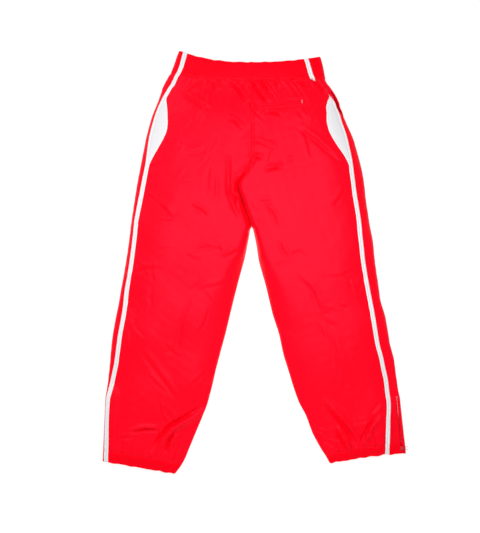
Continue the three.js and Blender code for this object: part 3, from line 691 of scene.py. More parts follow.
        return (height + creases * upper) * zipped * self._calm(depth, around) * (1 - fork)

    def _calm(self, depth: Array, around: Array) -> Array:
        """Share of the relief that is left over the hip's leaf and round the back pocket's zip.

        Args:
            depth: down the outseam.
            around: reach round the leg.

        Returns:
            Shares from 0 to 1.
        """
        over = around - self.roll(depth) - SIDE_HALF(depth) - insert_spread(self.leaf_depth(depth))
        beside = smoothstep(depth, 96, 124) * (1 - smoothstep(depth, INSERT_END, INSERT_END + 30))
        leaf = 1 - 0.85 * beside * (1 - smoothstep(over, 8, 26))
        if self.lay.side is Side.LEFT:
            return leaf
        from_seam = self.girth(depth) - around
        along = np.abs(from_seam - BACK_ZIP_INSET - BACK_ZIP / 2) - BACK_ZIP / 2
        slope = math.tan(math.radians(BACK_ZIP_TILT))
        line = BACK_ZIP_DEPTH - slope * (from_seam - BACK_ZIP_INSET - BACK_ZIP / 2)
        near = (1 - smoothstep(along, 2, 16)) * (1 - smoothstep(np.abs(depth - line), 7, 18))
        return leaf * (1 - 0.95 * near)

    def point(self, depth: Array, around: Array) -> tuple[Array, Array]:
        """The cloth's middle surface.

        Args:
            depth: down the outseam.
            around: reach round the leg, of a shape that goes with depth's.

        Returns:
            Places with their relief, and the smooth lay's normals.
        """
        depth, around = np.broadcast_arrays(np.asarray(depth, float), np.asarray(around, float))
        base = self.base(depth, around)
        normal = self.normal(depth, around)
        placed = base + normal * self.relief(depth, around, base)[..., None]
        placed[..., 2] = np.maximum(placed[..., 2], LOWEST)
        return placed, normal

    # -------------------------------------------------------------- pattern lines
    def lines(self, depth: Array, facing: int) -> dict[str, Array]:
        """Reaches of the pattern lines of one leg.

        Args:
            depth: down the outseam.
            facing: 1 for the back, -1 for the front.

        Returns:
            Where the side panel ends and where the outer piping, the insert, the inner piping
            and the main panel start.
        """
        open_ = insert_spread(self.leaf_depth(depth)) if facing > 0 else 0 * depth
        seam = self.roll(depth)
        half = SIDE_HALF(depth) + (self._stripe_trim(depth) if facing > 0 else 0)
        outer = half + SEAM
        insert = outer + PIPING + SEAM
        inner = insert + open_
        return {
            "side": seam + facing * half,
            "outer": seam + facing * outer,
            "insert": seam + facing * insert,
            "inner": seam + facing * inner,
            "panel": seam + facing * (inner + PIPING + SEAM),
        }

    def leaf_depth(self, depth: Array) -> Array:
        """Place on the leaf's pattern; its upper part is stretched towards the waist."""
        return depth + self.lay.leaf_rise * (1 - smoothstep(depth, INSERT_TOP, HIP + 40))

    def lap(self, depth: Array) -> Array:
        """How far the back panel's edge folds over the stripe."""
        return self._lap(depth)


def insert_spread(depth: Array) -> Array:
    """Width of the leaf-shaped opening between the pipings, fullest above its middle.

    Args:
        depth: on the leaf's pattern, from INSERT_TOP to INSERT_END.

    Returns:
        Widths in mm, 0 beyond its tips.
    """
    share = np.clip((depth - INSERT_TOP) / INSERT_LENGTH, 0, 1)
    swell = np.sin(math.pi * share**0.86)
    full = INSERT_WIDTH * np.where(share < 0.46, swell, np.abs(swell) ** 1.5)
    return np.clip(full - INSERT_WAIST(depth), 0, None)


LEFT = Leg(
    Lay(
        side=Side.LEFT,
        spread=(6, 21, 10, 5, 5, 343, 360, 365, 372),
        shift=((0, 0), (HEM, 0)),
        lowering=(38, 38, 32),
        roll=(-16, -10, -2, -12, -16, -12, -10, -14, -21),
        bump=7.2,
        outer_trim=(
            (0, -2.5), (30, -1), (50, 2), (62, 5), (82, 7.5), (92, 7.5), (102, 5), (142, 0),
            (420, 0), (472, -2.5), (572, -5), (622, -5), (672, -2.5), (722, 0), (HEM, 0),
        ),
        inner_trim=(
            (FORK, 0), (472, 5), (522, 10), (672, 10), (722, 7.5), (772, 5), (822, 5),
            (872, 7.5), (950, 7), (978, 8), (996, 7), (HEM, 2),
        ),
        stripe_trim=(
            (0, 2), (60, 1), (72, 4), (84, 7.5), (102, 6), (114, 4), (124, 2), (142, 0), (220, 1),
            (260, 3), (300, 5), (540, 5), (600, 2.5), (672, 5), (772, 5), (822, 2.5), (HEM, 2.5),
        ),
        hem_trim=8.0,
        slit_turn=0.0,
        inner_ramp=((300, 8), (FORK, 13), (KNEE, RAMP)),
        hem_bow=1.0,
        hem_round=4.0,
        leaf_rise=0.0,
        lap=((0, 0), (HEM, 0)),
        seed=20,
    )
)
RIGHT = Leg(
    Lay(
        side=Side.RIGHT,
        spread=(-6, 5.5, -10, -4, -4.5, 336, 363, 371, 386),
        shift=((0, 15), (WAIST_CASING, 15), (HIP, 0), (ZIP_TOP, 0), (HEM, -12)),
        lowering=(38, 37, 14),
        roll=(4, 3, -1, -1, 0, 1, 5, 10.5, 12),
        bump=0.0,
        outer_trim=(
            (0, 0), (60, 1), (82, 7.5), (102, 9), (122, 7.5), (142, 3), (170, 3), (222, 7.5),
            (300, 7), (372, 2.5), (422, 2.5), (472, 4), (522, 0), (572, -2.5), (622, -5),
            (672, 0), (722, 0), (772, 4), (822, 2.5), (862, 0), (HEM, 0),
        ),
        inner_trim=(
            (FORK, 0), (482, 3), (522, 7.5), (572, 5), (622, 4), (672, 0), (722, 2), (772, 0),
            (872, 0), (922, 5), (960, 7), (985, 10), (HEM, 13),
        ),
        stripe_trim=(
            (0, 2), (110, 2), (142, 1), (182, 4), (222, 6.5), (272, 5), (312, 7.5), (372, 5),
            (422, 3), (472, 7), (522, 5), (572, 2.5), (622, 0), (672, 5), (772, 5), (822, 2.5),
            (872, 1.5), (922, 5.5), (960, 6.5), (HEM, 8.5),
        ),
        hem_trim=0.5,
        slit_turn=7.5,
        inner_ramp=((300, 6), (FORK, 9), (KNEE, RAMP)),
        hem_bow=1.55,
        hem_round=11.0,
        leaf_rise=11.0,
        lap=((54, 0), (64, 11.5), (90, 10.5), (102, 6), (112, 2), (124, 0)),
        seed=50,
    )
)
LEGS = (LEFT, RIGHT)


# ------------------------------------------------------------------ finishes
class Graph:
    """A Principled material's nodes, added one by one."""

    def __init__(self, name: str) -> None:
        """Starts a material with its output and shader.

        Args:
            name: the material's name.
        """
        self.material = bpy.data.materials.new(name)
        self.material.use_nodes = True
        self.tree = self.material.node_tree
        self.shader = self.tree.nodes["Principled BSDF"]

    def node(self, kind: str, **settings: object) -> bpy.types.Node:
        """Adds a node.

        Args:
            kind: its type, without the leading "ShaderNode".
            settings: attributes, and values or sockets for inputs, with _ for a space.

        Returns:
            The node.
        """
        made = self.tree.nodes.new("ShaderNode" + kind)
        for key, value in settings.items():
            label = key.replace("_", " ")
            if hasattr(made, key):
                setattr(made, key, value)
            elif isinstance(value, bpy.types.NodeSocket):
                self.tree.links.new(value, made.inputs[label])
            else:
                made.inputs[label].default_value = value
        return made

    def math(self, operation: str, first: object, second: object = 0.0) -> bpy.types.NodeSocket:
        """Adds a Math node.

        Args:
            operation: what it does.
            first: a number or a socket.
            second: the same.

        Returns:
            The socket with its result.
        """
        made = self.node("Math", operation=operation)
        for socket, value in zip(made.inputs, (first, second)):
            if isinstance(value, bpy.types.NodeSocket):
                self.tree.links.new(value, socket)
            else:
                socket.default_value = value
        return made.outputs[0]

    def link(self, source: bpy.types.NodeSocket, name: str) -> None:
        """Joins a socket to one of the shader's inputs."""
        self.tree.links.new(source, self.shader.inputs[name])

    def set(self, **values: object) -> None:
        """Sets numbers and colours on the shader's own sockets."""
        for key, value in values.items():
            self.shader.inputs[key.replace("_", " ")].default_value = value

    def mix(self, share: bpy.types.NodeSocket, low: tuple, high: tuple) -> bpy.types.NodeSocket:
        """Mixes two colours.

        Args:
            share: how much of high there is.
            low: a linear colour.
            high: the same.

        Returns:
            The socket with the mixed colour.
        """
        made = self.node("Mix", data_type="RGBA")
        self.tree.links.new(share, made.inputs["Factor"])
        made.inputs[6].default_value = (*low, 1)
        made.inputs[7].default_value = (*high, 1)
        return made.outputs[2]

    def bump(self, height: bpy.types.NodeSocket, distance: float, strength: float,
             below: bpy.types.NodeSocket | None = None) -> bpy.types.NodeSocket:
        """Adds a Bump node.

        Args:
            height: the socket with the bumps' height.
            distance: what a height of 1 stands for, in metres.
            strength: of the effect.
            below: the normal of bumps that these lie on.

        Returns:
            The socket with the normal.
        """
        made = self.node("Bump", Height=height, Distance=distance, Strength=strength)
        if below is not None:
            self.tree.links.new(below, made.inputs["Normal"])
        return made.outputs[0]


@dataclass(frozen=True)
class Woven:
    """A plain-woven cloth: crossed threads on the piece's own UV, crinkle and colour drift."""

    name: str
    color: tuple[float, float, float]
    deep: tuple[float, float, float]
    roughness: float = 0.38
    sheen: float = 0.02
    sheen_tint: tuple[float, float, float] = (1.0, 0.4, 0.7)
    pitch: float = 0.00055
    thread: float = 0.35
    crinkle: float = 0.35
    specular: float = 0.12
    specular_tint: tuple[float, float, float] = (1.0, 0.42, 0.92)

    def build(self) -> bpy.types.Material:
        """Makes the material.

        Returns:
            The material.
        """
        graph = Graph(self.name)
        coordinates = graph.node("UVMap", uv_map="cloth").outputs[0]
        split = graph.node("SeparateXYZ", Vector=coordinates)
        rate = math.tau / self.pitch
        warp = graph.math("SINE", graph.math("MULTIPLY", split.outputs[0], rate))
        weft = graph.math("SINE", graph.math("MULTIPLY", split.outputs[1], rate))
        weave = graph.math("MULTIPLY", warp, weft)
        crumple = graph.node("TexNoise", Vector=coordinates, Scale=70.0, Detail=5.0,
                             Roughness=0.62, Distortion=0.6)
        drift = graph.node("TexNoise", Vector=coordinates, Scale=9.0, Detail=3.0)
        fine = graph.bump(weave, 0.00012, self.thread)
        normal = graph.bump(crumple.outputs[0], 0.0016, self.crinkle, fine)
        graph.link(normal, "Normal")
        shade = graph.math("ADD", graph.math("MULTIPLY", drift.outputs[0], 0.7),
                           graph.math("MULTIPLY", weave, 0.12))
        graph.link(graph.mix(shade, self.deep, self.color), "Base Color")
        rough = graph.math("ADD", graph.math("MULTIPLY", crumple.outputs[0], 0.16),
                           self.roughness - 0.08)
        graph.link(rough, "Roughness")
        graph.set(Sheen_Weight=self.sheen, Sheen_Roughness=0.4, Specular_IOR_Level=self.specular,
                  Sheen_Tint=(*self.sheen_tint, 1), Specular_Tint=(*self.specular_tint, 1))
        return graph.material


@dataclass(frozen=True)
class Knit:
    """A warp-knit mesh: rows of small pits in a soft matt cloth, with painted shade in the pits."""

    name: str
    color: tuple[float, float, float]
    # deep: the colour of the painted shade in the pits
    deep: tuple[float, float, float]
    pitch: float = 0.0021
    roughness: float = 0.8
    sheen: float = 0.3

    def build(self) -> bpy.types.Material:
        """Makes the material.

        Returns:
            The material.
        """
        graph = Graph(self.name)
        coordinates = graph.node("UVMap", uv_map="cloth").outputs[0]
        cells = graph.node("TexVoronoi", Vector=coordinates, Scale=1 / self.pitch, Randomness=0.15)
        pits = graph.math("SMOOTH_MIN", cells.outputs[0], 0.35)
        fuzz = graph.node("TexNoise", Vector=coordinates, Scale=900.0, Detail=2.0)
        low = graph.bump(fuzz.outputs[0], 0.0002, 0.3)
        graph.link(graph.bump(pits, 0.0005, 0.6, low), "Normal")
        # painted shade: the pits get the deep colour, darker where shade would fall in them
        depth = graph.math("MULTIPLY", pits, 2.6)
        graph.link(graph.mix(depth, self.deep, self.color), "Base Color")
        graph.set(Roughness=self.roughness, Sheen_Weight=self.sheen, Sheen_Roughness=0.5)
        return graph.material


@dataclass(frozen=True)
class Plated:
    """Cast metal, bare or enamelled, with a fine grain and worn high spots."""

    name: str
    color: tuple[float, float, float]
    worn: tuple[float, float, float]
    metallic: float
    roughness: float
    coat: float = 0.2
    specular: float = 0.5

    def build(self) -> bpy.types.Material:
        """Makes the material.

        Returns:
            The material.
        """
        graph = Graph(self.name)
        place = graph.node("TexCoord").outputs["Object"]
        grain = graph.node("TexNoise", Vector=place, Scale=1400.0, Detail=3.0)
        patches = graph.node("TexNoise", Vector=place, Scale=520.0, Detail=2.0)
        graph.link(graph.mix(patches.outputs[0], self.color, self.worn), "Base Color")
        graph.link(graph.bump(grain.outputs[0], 0.00008, 0.25), "Normal")
        rough = graph.math("ADD", graph.math("MULTIPLY", grain.outputs[0], 0.2),
                           self.roughness - 0.1)
        graph.link(rough, "Roughness")
        graph.set(Metallic=self.metallic, Coat_Weight=self.coat, Specular_IOR_Level=self.specular)
        return graph.material


RED = (0.94, 0.0002, 0.0120)
RED_DEEP = (0.88, 0.0001, 0.0085)


class Finish(Enum):
    """The finishes; each value is made into a material once."""

    SHELL = Woven("red nylon", RED, RED_DEEP)
    BAND = Woven("red casing nylon", (0.94, 0.0001, 0.0100), (0.88, 0.0001, 0.006),
                 specular=0.06, crinkle=0.5)
    PIPING = Woven("white piping", (0.74, 0.755, 0.76), (0.69, 0.71, 0.72), 0.6, 0.15,
                   (1, 1, 1), 0.0008, 0.3, 0.15, specular_tint=(1, 1, 1))
    # the second colour of each knit is the painted shade in its pits
    INSERT = Knit("pale grey mesh knit", (0.70, 0.69, 0.71), (0.59, 0.58, 0.60))
    LINING = Knit("red mesh lining", (0.62, 0.004, 0.01), (0.4, 0.002, 0.006), sheen=0.02)
    ELASTIC = Woven("woven elastic", (0.72, 0.70, 0.68), (0.6, 0.58, 0.56), 0.85, 0.2,
                    (1, 1, 1), 0.0016, 0.9, 0.2, specular_tint=(1, 1, 1))
    TAPE = Woven("red zip tape", (0.92, 0.002, 0.014), (0.84, 0.002, 0.010), 0.75, 0.1,
                 (1, 0.6, 0.6), 0.0009, 0.7, 0.1)
    THREAD = Woven("red thread", (0.85, 0.006, 0.018), (0.7, 0.003, 0.009), 0.55, 0.2,
                   (1, 0.6, 0.6), 0.0004, 0.5, 0.0)
    COIL = Plated("red nylon coil", (0.94, 0.002, 0.014), (0.84, 0.002, 0.010), 0.0, 0.5, 0.0, 0.1)
    METAL = Plated("nickel plate", (0.72, 0.68, 0.66), (0.60, 0.50, 0.49), 1.0, 0.28)
    ENAMEL = Plated("red enamel", (0.50, 0.02, 0.025), (0.62, 0.07, 0.07), 0.35, 0.33)

    def material(self) -> bpy.types.Material:
        """The finish's material, made on first use."""
        return bpy.data.materials.get(self.value.name) or self.value.build()


# ------------------------------------------------------------------ meshes
@dataclass
class Skin:
    """A grid of points on the cloth with its normals and pattern places."""

    points: Array
    normals: Array
    places: Array
    keep: Array | None = None

    def area(self) -> float:
        """Area of the kept cells, each half the cross product of its diagonals.

        Returns:
            Square metres.
        """
        p = self.points
        cross = np.cross(p[1:, 1:] - p[:-1, :-1], p[1:, :-1] - p[:-1, 1:])
        cells = np.linalg.norm(cross, axis=-1) / 2
        return float(cells.sum() if self.keep is None else cells[self.keep].sum()) * 1e-6

    def rolled(self, at_start: bool, radius: float = 1.1) -> "Skin":
        """Turns the first or last row under in a half circle.

        Args:
            at_start: whether it is the first row.
            radius: of the half circle.

        Returns:
            A longer skin.
        """
        points, normals, places, keep = self.points, self.normals, self.places, self.keep
        if not at_start:
            points, normals, places = points[::-1], normals[::-1], places[::-1]
            keep = None if keep is None else keep[::-1]
        out = points[0] - points[1]
        out = out - (out * normals[0]).sum(-1, keepdims=True) * normals[0]
        out = out / np.linalg.norm(out, axis=-1, keepdims=True)
        angles = np.radians([180, 150, 120, 90, 60, 30])[:, None, None]
        turned = points[0] + radius * (out * np.sin(angles) - normals[0] * (1 - np.cos(angles)))
        facing = normals[0] * np.cos(angles) + out * np.sin(angles)
        step = places[0] - places[1]
        step = step / np.linalg.norm(step, axis=-1, keepdims=True)
        moved = places[0] + step * radius * angles
        points = np.concatenate([turned, points])
        normals = np.concatenate([facing, normals])
        places = np.concatenate([moved, places])
        if keep is not None:
            keep = np.concatenate([np.repeat(keep[:1], len(angles), 0), keep])
        if not at_start:
            points, normals, places = points[::-1], normals[::-1], places[::-1]
            keep = None if keep is None else keep[::-1]
        return Skin(points, normals, places, keep)

    def hemmed(self) -> "Skin":
        """Turned under at the waist and at the hem."""
        return self.rolled(True).rolled(False, 0.9)


def grid_normals(points: Array, like: Array) -> Array:
    """Unit normals of a grid of points, from the differences between neighbours.

    Args:
        points: rows by columns by 3.
        like: vectors of the same shape, on the side that the normals face.

    Returns:
        The normals; like itself where neighbours coincide.
    """
    n = np.cross(np.gradient(points, axis=0), np.gradient(points, axis=1))
    length = np.linalg.norm(n, axis=-1, keepdims=True)
    n = np.where(length > 1e-9, n / np.maximum(length, 1e-9), like)
    return n * np.where((n * like).sum(-1, keepdims=True) < 0, -1, 1)


def mesh_object(name: str, points: Array, faces: list[Array], finish: Finish,
                places: Array | None = None, crease_angle: float = 50.0) -> bpy.types.Object:
    """Makes a mesh object from points in the lay's frame, in mm.

    Args:
        name: the object's name.
        points: one row for each vertex.
        faces: arrays of triangles or quads, as rows of vertex numbers.
        finish: what it is made of.
        places: pattern place of each vertex in mm, for the UV map.
        crease_angle: angle over which an edge is sharp, in degrees.

    Returns:
        The object, at the origin, with its place in its mesh.
    """
    mesh = bpy.data.meshes.new(name)
    counts = np.concatenate([np.full(len(f), f.shape[1], np.int32) for f in faces])
    corners = np.concatenate([f.reshape(-1) for f in faces]).astype(np.int32)
    mesh.vertices.add(len(points))
    mesh.vertices.foreach_set("co", ((points + ORIGIN) * 1e-3).astype(np.float32).reshape(-1))
    mesh.loops.add(len(corners))
    mesh.loops.foreach_set("vertex_index", corners)
    mesh.polygons.add(len(counts))
    starts = np.concatenate([[0], np.cumsum(counts)[:-1]]).astype(np.int32)
    mesh.polygons.foreach_set("loop_start", starts)
    mesh.update(calc_edges=True)
    if places is not None:
        uv = mesh.uv_layers.new(name="cloth")
        uv.uv.foreach_set("vector", (places[corners] * 1e-3).astype(np.float32).reshape(-1))
    mesh.materials.append(finish.material())
    mesh.polygons.foreach_set("use_smooth", np.ones(len(counts), bool))
    mesh.set_sharp_from_angle(angle=math.radians(crease_angle))
    mesh.validate()
    made = bpy.data.objects.new(name, mesh)
    bpy.context.scene.collection.objects.link(made)
    return made


def cloth_object(name: str, skin: Skin, finish: Finish, low: float,
                 high: float) -> bpy.types.Object:
    """Gives a skin its thickness and closes every rim.

    Shell cloth over the elastics of the waist and the cuffs gets the casing finish.

    Args:
        name: the object's name.
        skin: its middle surface.
        finish: what it is made of.
        low: the inner face's distance along the normals.
        high: the outer face's.

    Returns:
        The object.
    """
    points, places = skin.points, skin.places
    rows, columns = points.shape[:2]
    normals = grid_normals(points, skin.normals)
    count = rows * columns
    verts = np.concatenate(
        [(points + normals * high).reshape(-1, 3), (points + normals * low).reshape(-1, 3)]
    )
    index = np.arange(count).reshape(rows, columns)
    corner = [index[:-1, :-1], index[1:, :-1], index[1:, 1:], index[:-1, 1:]]
    keep = np.ones((rows - 1, columns - 1), bool) if skin.keep is None else skin.keep
    top = np.stack([c[keep] for c in corner], -1)
    faces = [top, top[:, ::-1] + count]
    wide = np.pad(keep, 1)
    neighbours = [wide[1:-1, :-2], wide[2:, 1:-1], wide[1:-1, 2:], wide[:-2, 1:-1]]
    for k, neighbour in enumerate(neighbours):
        rim = keep & ~neighbour
        p, q = corner[k][rim], corner[(k + 1) % 4][rim]
        faces.append(np.stack([q, p, p + count, q + count], -1))
    flow = np.cross(points[1:, :-1] - points[:-1, :-1], points[:-1, 1:] - points[:-1, :-1])
    if (flow * normals[:-1, :-1]).sum() < 0:
        faces = [f[:, ::-1] for f in faces]
    flat = np.tile(places.reshape(-1, 2), (2, 1))
    made = mesh_object(name, verts, faces, finish, flat)
    if finish is Finish.SHELL:
        made.data.materials.append(Finish.BAND.material())
        depth = np.concatenate([flat[f, 1].mean(1) for f in faces])
        banded = (depth < WAIST_CASING) | (depth > CUFF)
        made.data.polygons.foreach_set("material_index", banded.astype(np.int32))
    return made


def tube(path: Array, radius: float | Array, sides: int, closed: bool) -> Shape:
    """A round section carried along a path; each ring is square to the path's direction.

    Args:
        path: points of the centre line.
        radius: of the section, one value or one for each point.
        sides: points round the section.
        closed: whether the last point joins the first.

    Returns:
        Vertices and faces.
    """
    ahead = np.roll(path, -1, 0) - np.roll(path, 1, 0)
    if not closed:
        ahead[0], ahead[-1] = path[1] - path[0], path[-1] - path[-2]
    ahead = ahead / np.linalg.norm(ahead, axis=1, keepdims=True)
    plane = np.linalg.svd(path - path.mean(0))[2][2]
    side = np.cross(ahead, plane)
    side = side / np.linalg.norm(side, axis=1, keepdims=True)
    up = np.cross(side, ahead)
    turn = np.linspace(0, math.tau, sides, endpoint=False)[None, :, None]
    spread = np.broadcast_to(radius, len(path))[:, None, None]
    verts = path[:, None] + spread * (side[:, None] * np.cos(turn) + up[:, None] * np.sin(turn))
    return verts.reshape(-1, 3), [wrap_quads(len(path), sides, closed)]


def wrap_quads(rings: int, sides: int, closed: bool) -> Array:
    """Quads between rings of points.

    Args:
        rings: how many rings there are.
        sides: points in each.
        closed: whether the last ring joins the first.

    Returns:
        Rows of four vertex numbers.
    """
    i = np.arange(rings if closed else rings - 1)[:, None]
    j = np.arange(sides)[None]
    after, beside = (i + 1) % rings, (j + 1) % sides
    quads = [i * sides + j, i * sides + beside, after * sides + beside, after * sides + j]
    return np.stack(np.broadcast_arrays(*quads), -1).reshape(-1, 4)


def capped(verts: Array, rings: int, sides: int) -> Shape:
    """Closes a stack of rings with a fan at each end.

    Args:
        verts: the rings' points, ring after ring.
        rings: how many rings there are.
        sides: points in each.

    Returns:
        Vertices and faces.
    """
    grid = verts.reshape(rings, sides, 3)
    ends = np.stack([grid[0].mean(0), grid[-1].mean(0)])
    j = np.arange(sides)
    beside = (j + 1) % sides
    first, last = len(verts), len(verts) + 1
    base = (rings - 1) * sides
    fans = [
        np.stack([beside, j, np.full(sides, first)], -1),
        np.stack([base + j, base + beside, np.full(sides, last)], -1),
    ]
    return np.concatenate([verts, ends]), [wrap_quads(rings, sides, False), *fans]


def facing_out(verts: Array, faces: list[Array]) -> list[Array]:
    """Turns every face of a closed shape round if its signed volume is negative.

    Args:
        verts: its vertices.
        faces: its faces.

    Returns:
        The faces, facing out.
    """
    volume = 0.0
    for f in faces:
        for k in range(1, f.shape[1] - 1):
            a, b, c = verts[f[:, 0]], verts[f[:, k]], verts[f[:, k + 1]]
            volume += float((a * np.cross(b, c)).sum())
    return faces if volume > 0 else [f[:, ::-1] for f in faces]


def beads(centres: Array, along: Array, up: Array,
          size: tuple[float, float, float]) -> tuple[Array, Array]:
    """Many small rounded bars in one mesh: rings of six at four places along each bar.

    Args:
        centres: the bars' middles.
        along: unit directions of their length.
        up: unit directions of their height.
        size: half length, half width and half height.

    Returns:
        Vertices and quads; the end rings are nearly closed.
    """
    turn = np.linspace(0, math.tau, 6, endpoint=False)
    rings = np.array([[-1.0, 0.04], [-0.72, 0.86], [0.72, 0.86], [1.0, 0.04]])
    side = np.cross(up, along)
    half, wide, high = size
    verts = (
        centres[:, None, None]
        + along[:, None, None] * (rings[:, 0] * half)[None, :, None, None]
        + side[:, None, None] * (rings[:, 1, None] * np.cos(turn) * wide)[None, :, :, None]
        + up[:, None, None] * (rings[:, 1, None] * np.sin(turn) * high)[None, :, :, None]
    )
    quads = wrap_quads(4, 6, False)
    caps = np.array([[0, 3, 2, 1], [0, 5, 4, 3], [18, 19, 20, 21], [18, 21, 22, 23]])
    one = np.concatenate([quads, caps])
    faces = one[None] + 24 * np.arange(len(centres))[:, None, None]
    return verts.reshape(-1, 3), faces.reshape(-1, 4)


def mount(made: bpy.types.Object, body: str, slot: str, node: str) -> None:
    """Parents a piece to the body it rides on and hides the CAD node it stands for."""
    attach(made, body)
    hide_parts(node)


def teeth(name: str, node: str, centres: Array, along: Array, up: Array, width: float,
          height: float) -> None:
    """The teeth of one side of a zip, as bars across its chain.

    Args:
        name: the object's name.
        node: the CAD node it stands for.
        centres: the bars' middles.
        along: unit directions across the chain.
        up: unit directions out of the cloth.
        width: half of a bar's width.
        height: half of its height.
    """
    verts, quads = beads(centres, along, up, (TOOTH, width, height))
    mount(mesh_object(name, verts, [quads], Finish.COIL), "pants", "coil", node)


# ------------------------------------------------------------------ cloth pieces
DEPTHS = np.unique(
    np.concatenate(
        [np.linspace(0, 6, 5), np.linspace(6, 120, 58), np.linspace(120, 460, 106),
         np.linspace(460, 880, 100), np.linspace(880, HEM, 66), [WAIST_CASING, CUFF]]
    )
)
SHEET_LOW, SHEET_HIGH = 0.15, 0.75  # of the outer cloth, along the normal


@dataclass
class Tailor:
    """Cuts cloth pieces from a leg's surface and parents them to their body."""

    leg: Leg
    body: str = "pants"

    def skin(self, depths: Array, columns: Array, dip: float = 0.8, dome: float = 0.0,
             offset: float = 0.0, raised: Array | None = None) -> Skin:
        """A grid of points between pattern lines.

        Each point is on the leg's surface, lowered by dip * bell(distance to the piece's edge, 1.2)
        and lifted by dome * (1 - u^2), u running from -1 to 1 across the piece.

        Args:
            depths: one for each row.
            columns: reaches, rows by columns.
            dip: how far the piece's sewn edges turn down.
            dome: how far its middle stands up.
            offset: along the normal.
            raised: extra height, rows by columns.

        Returns:
            The skin.
        """
        grid_depths = np.broadcast_to(depths[:, None], columns.shape)
        points, normals = self.leg.point(grid_depths, columns)
        span = np.abs(columns[:, -1:] - columns[:, :1])
        first = np.abs(columns - columns[:, :1])
        edge = np.minimum(first, span - first)
        u = 2 * first / np.maximum(span, 1e-6) - 1
        lift = offset + dome * (1 - u**2) - dip * bell(edge, 1.2)
        if raised is not None:
            lift = lift + raised
        points = points + normals * lift[..., None]
        places = np.stack([columns, grid_depths], -1)
        return Skin(points, normals, places)

    def sew(self, name: str, skin: Skin, finish: Finish, node: str, slot: str,
            flat: tuple[float, float], low: float = SHEET_LOW, high: float = SHEET_HIGH,
            held: str = "laid") -> bpy.types.Object:
        """Args:
            name: the object's name.
            skin: its middle surface.
            finish: what it is made of.
            node: the CAD node it stands for.
            slot: its slot; not used.
            flat: width and length of the flat pattern, in metres; not used.
            low: the inner face's distance along the normals.
            high: the outer face's.
            held: how it is held; not used.

        Returns:
            The object.
        """
        made = cloth_object(name, skin, finish, low, high)
        mount(made, self.body, slot, node)
        LOG.info("%s: %d points, %.4f square metres", name, skin.points[..., 0].size, skin.area())
        return made


def between(low: Array, high: Array, shares: Array) -> Array:
    """Columns at the given shares of the way from one pattern line to another."""
    return low[:, None] + (high - low)[:, None] * shares[None]


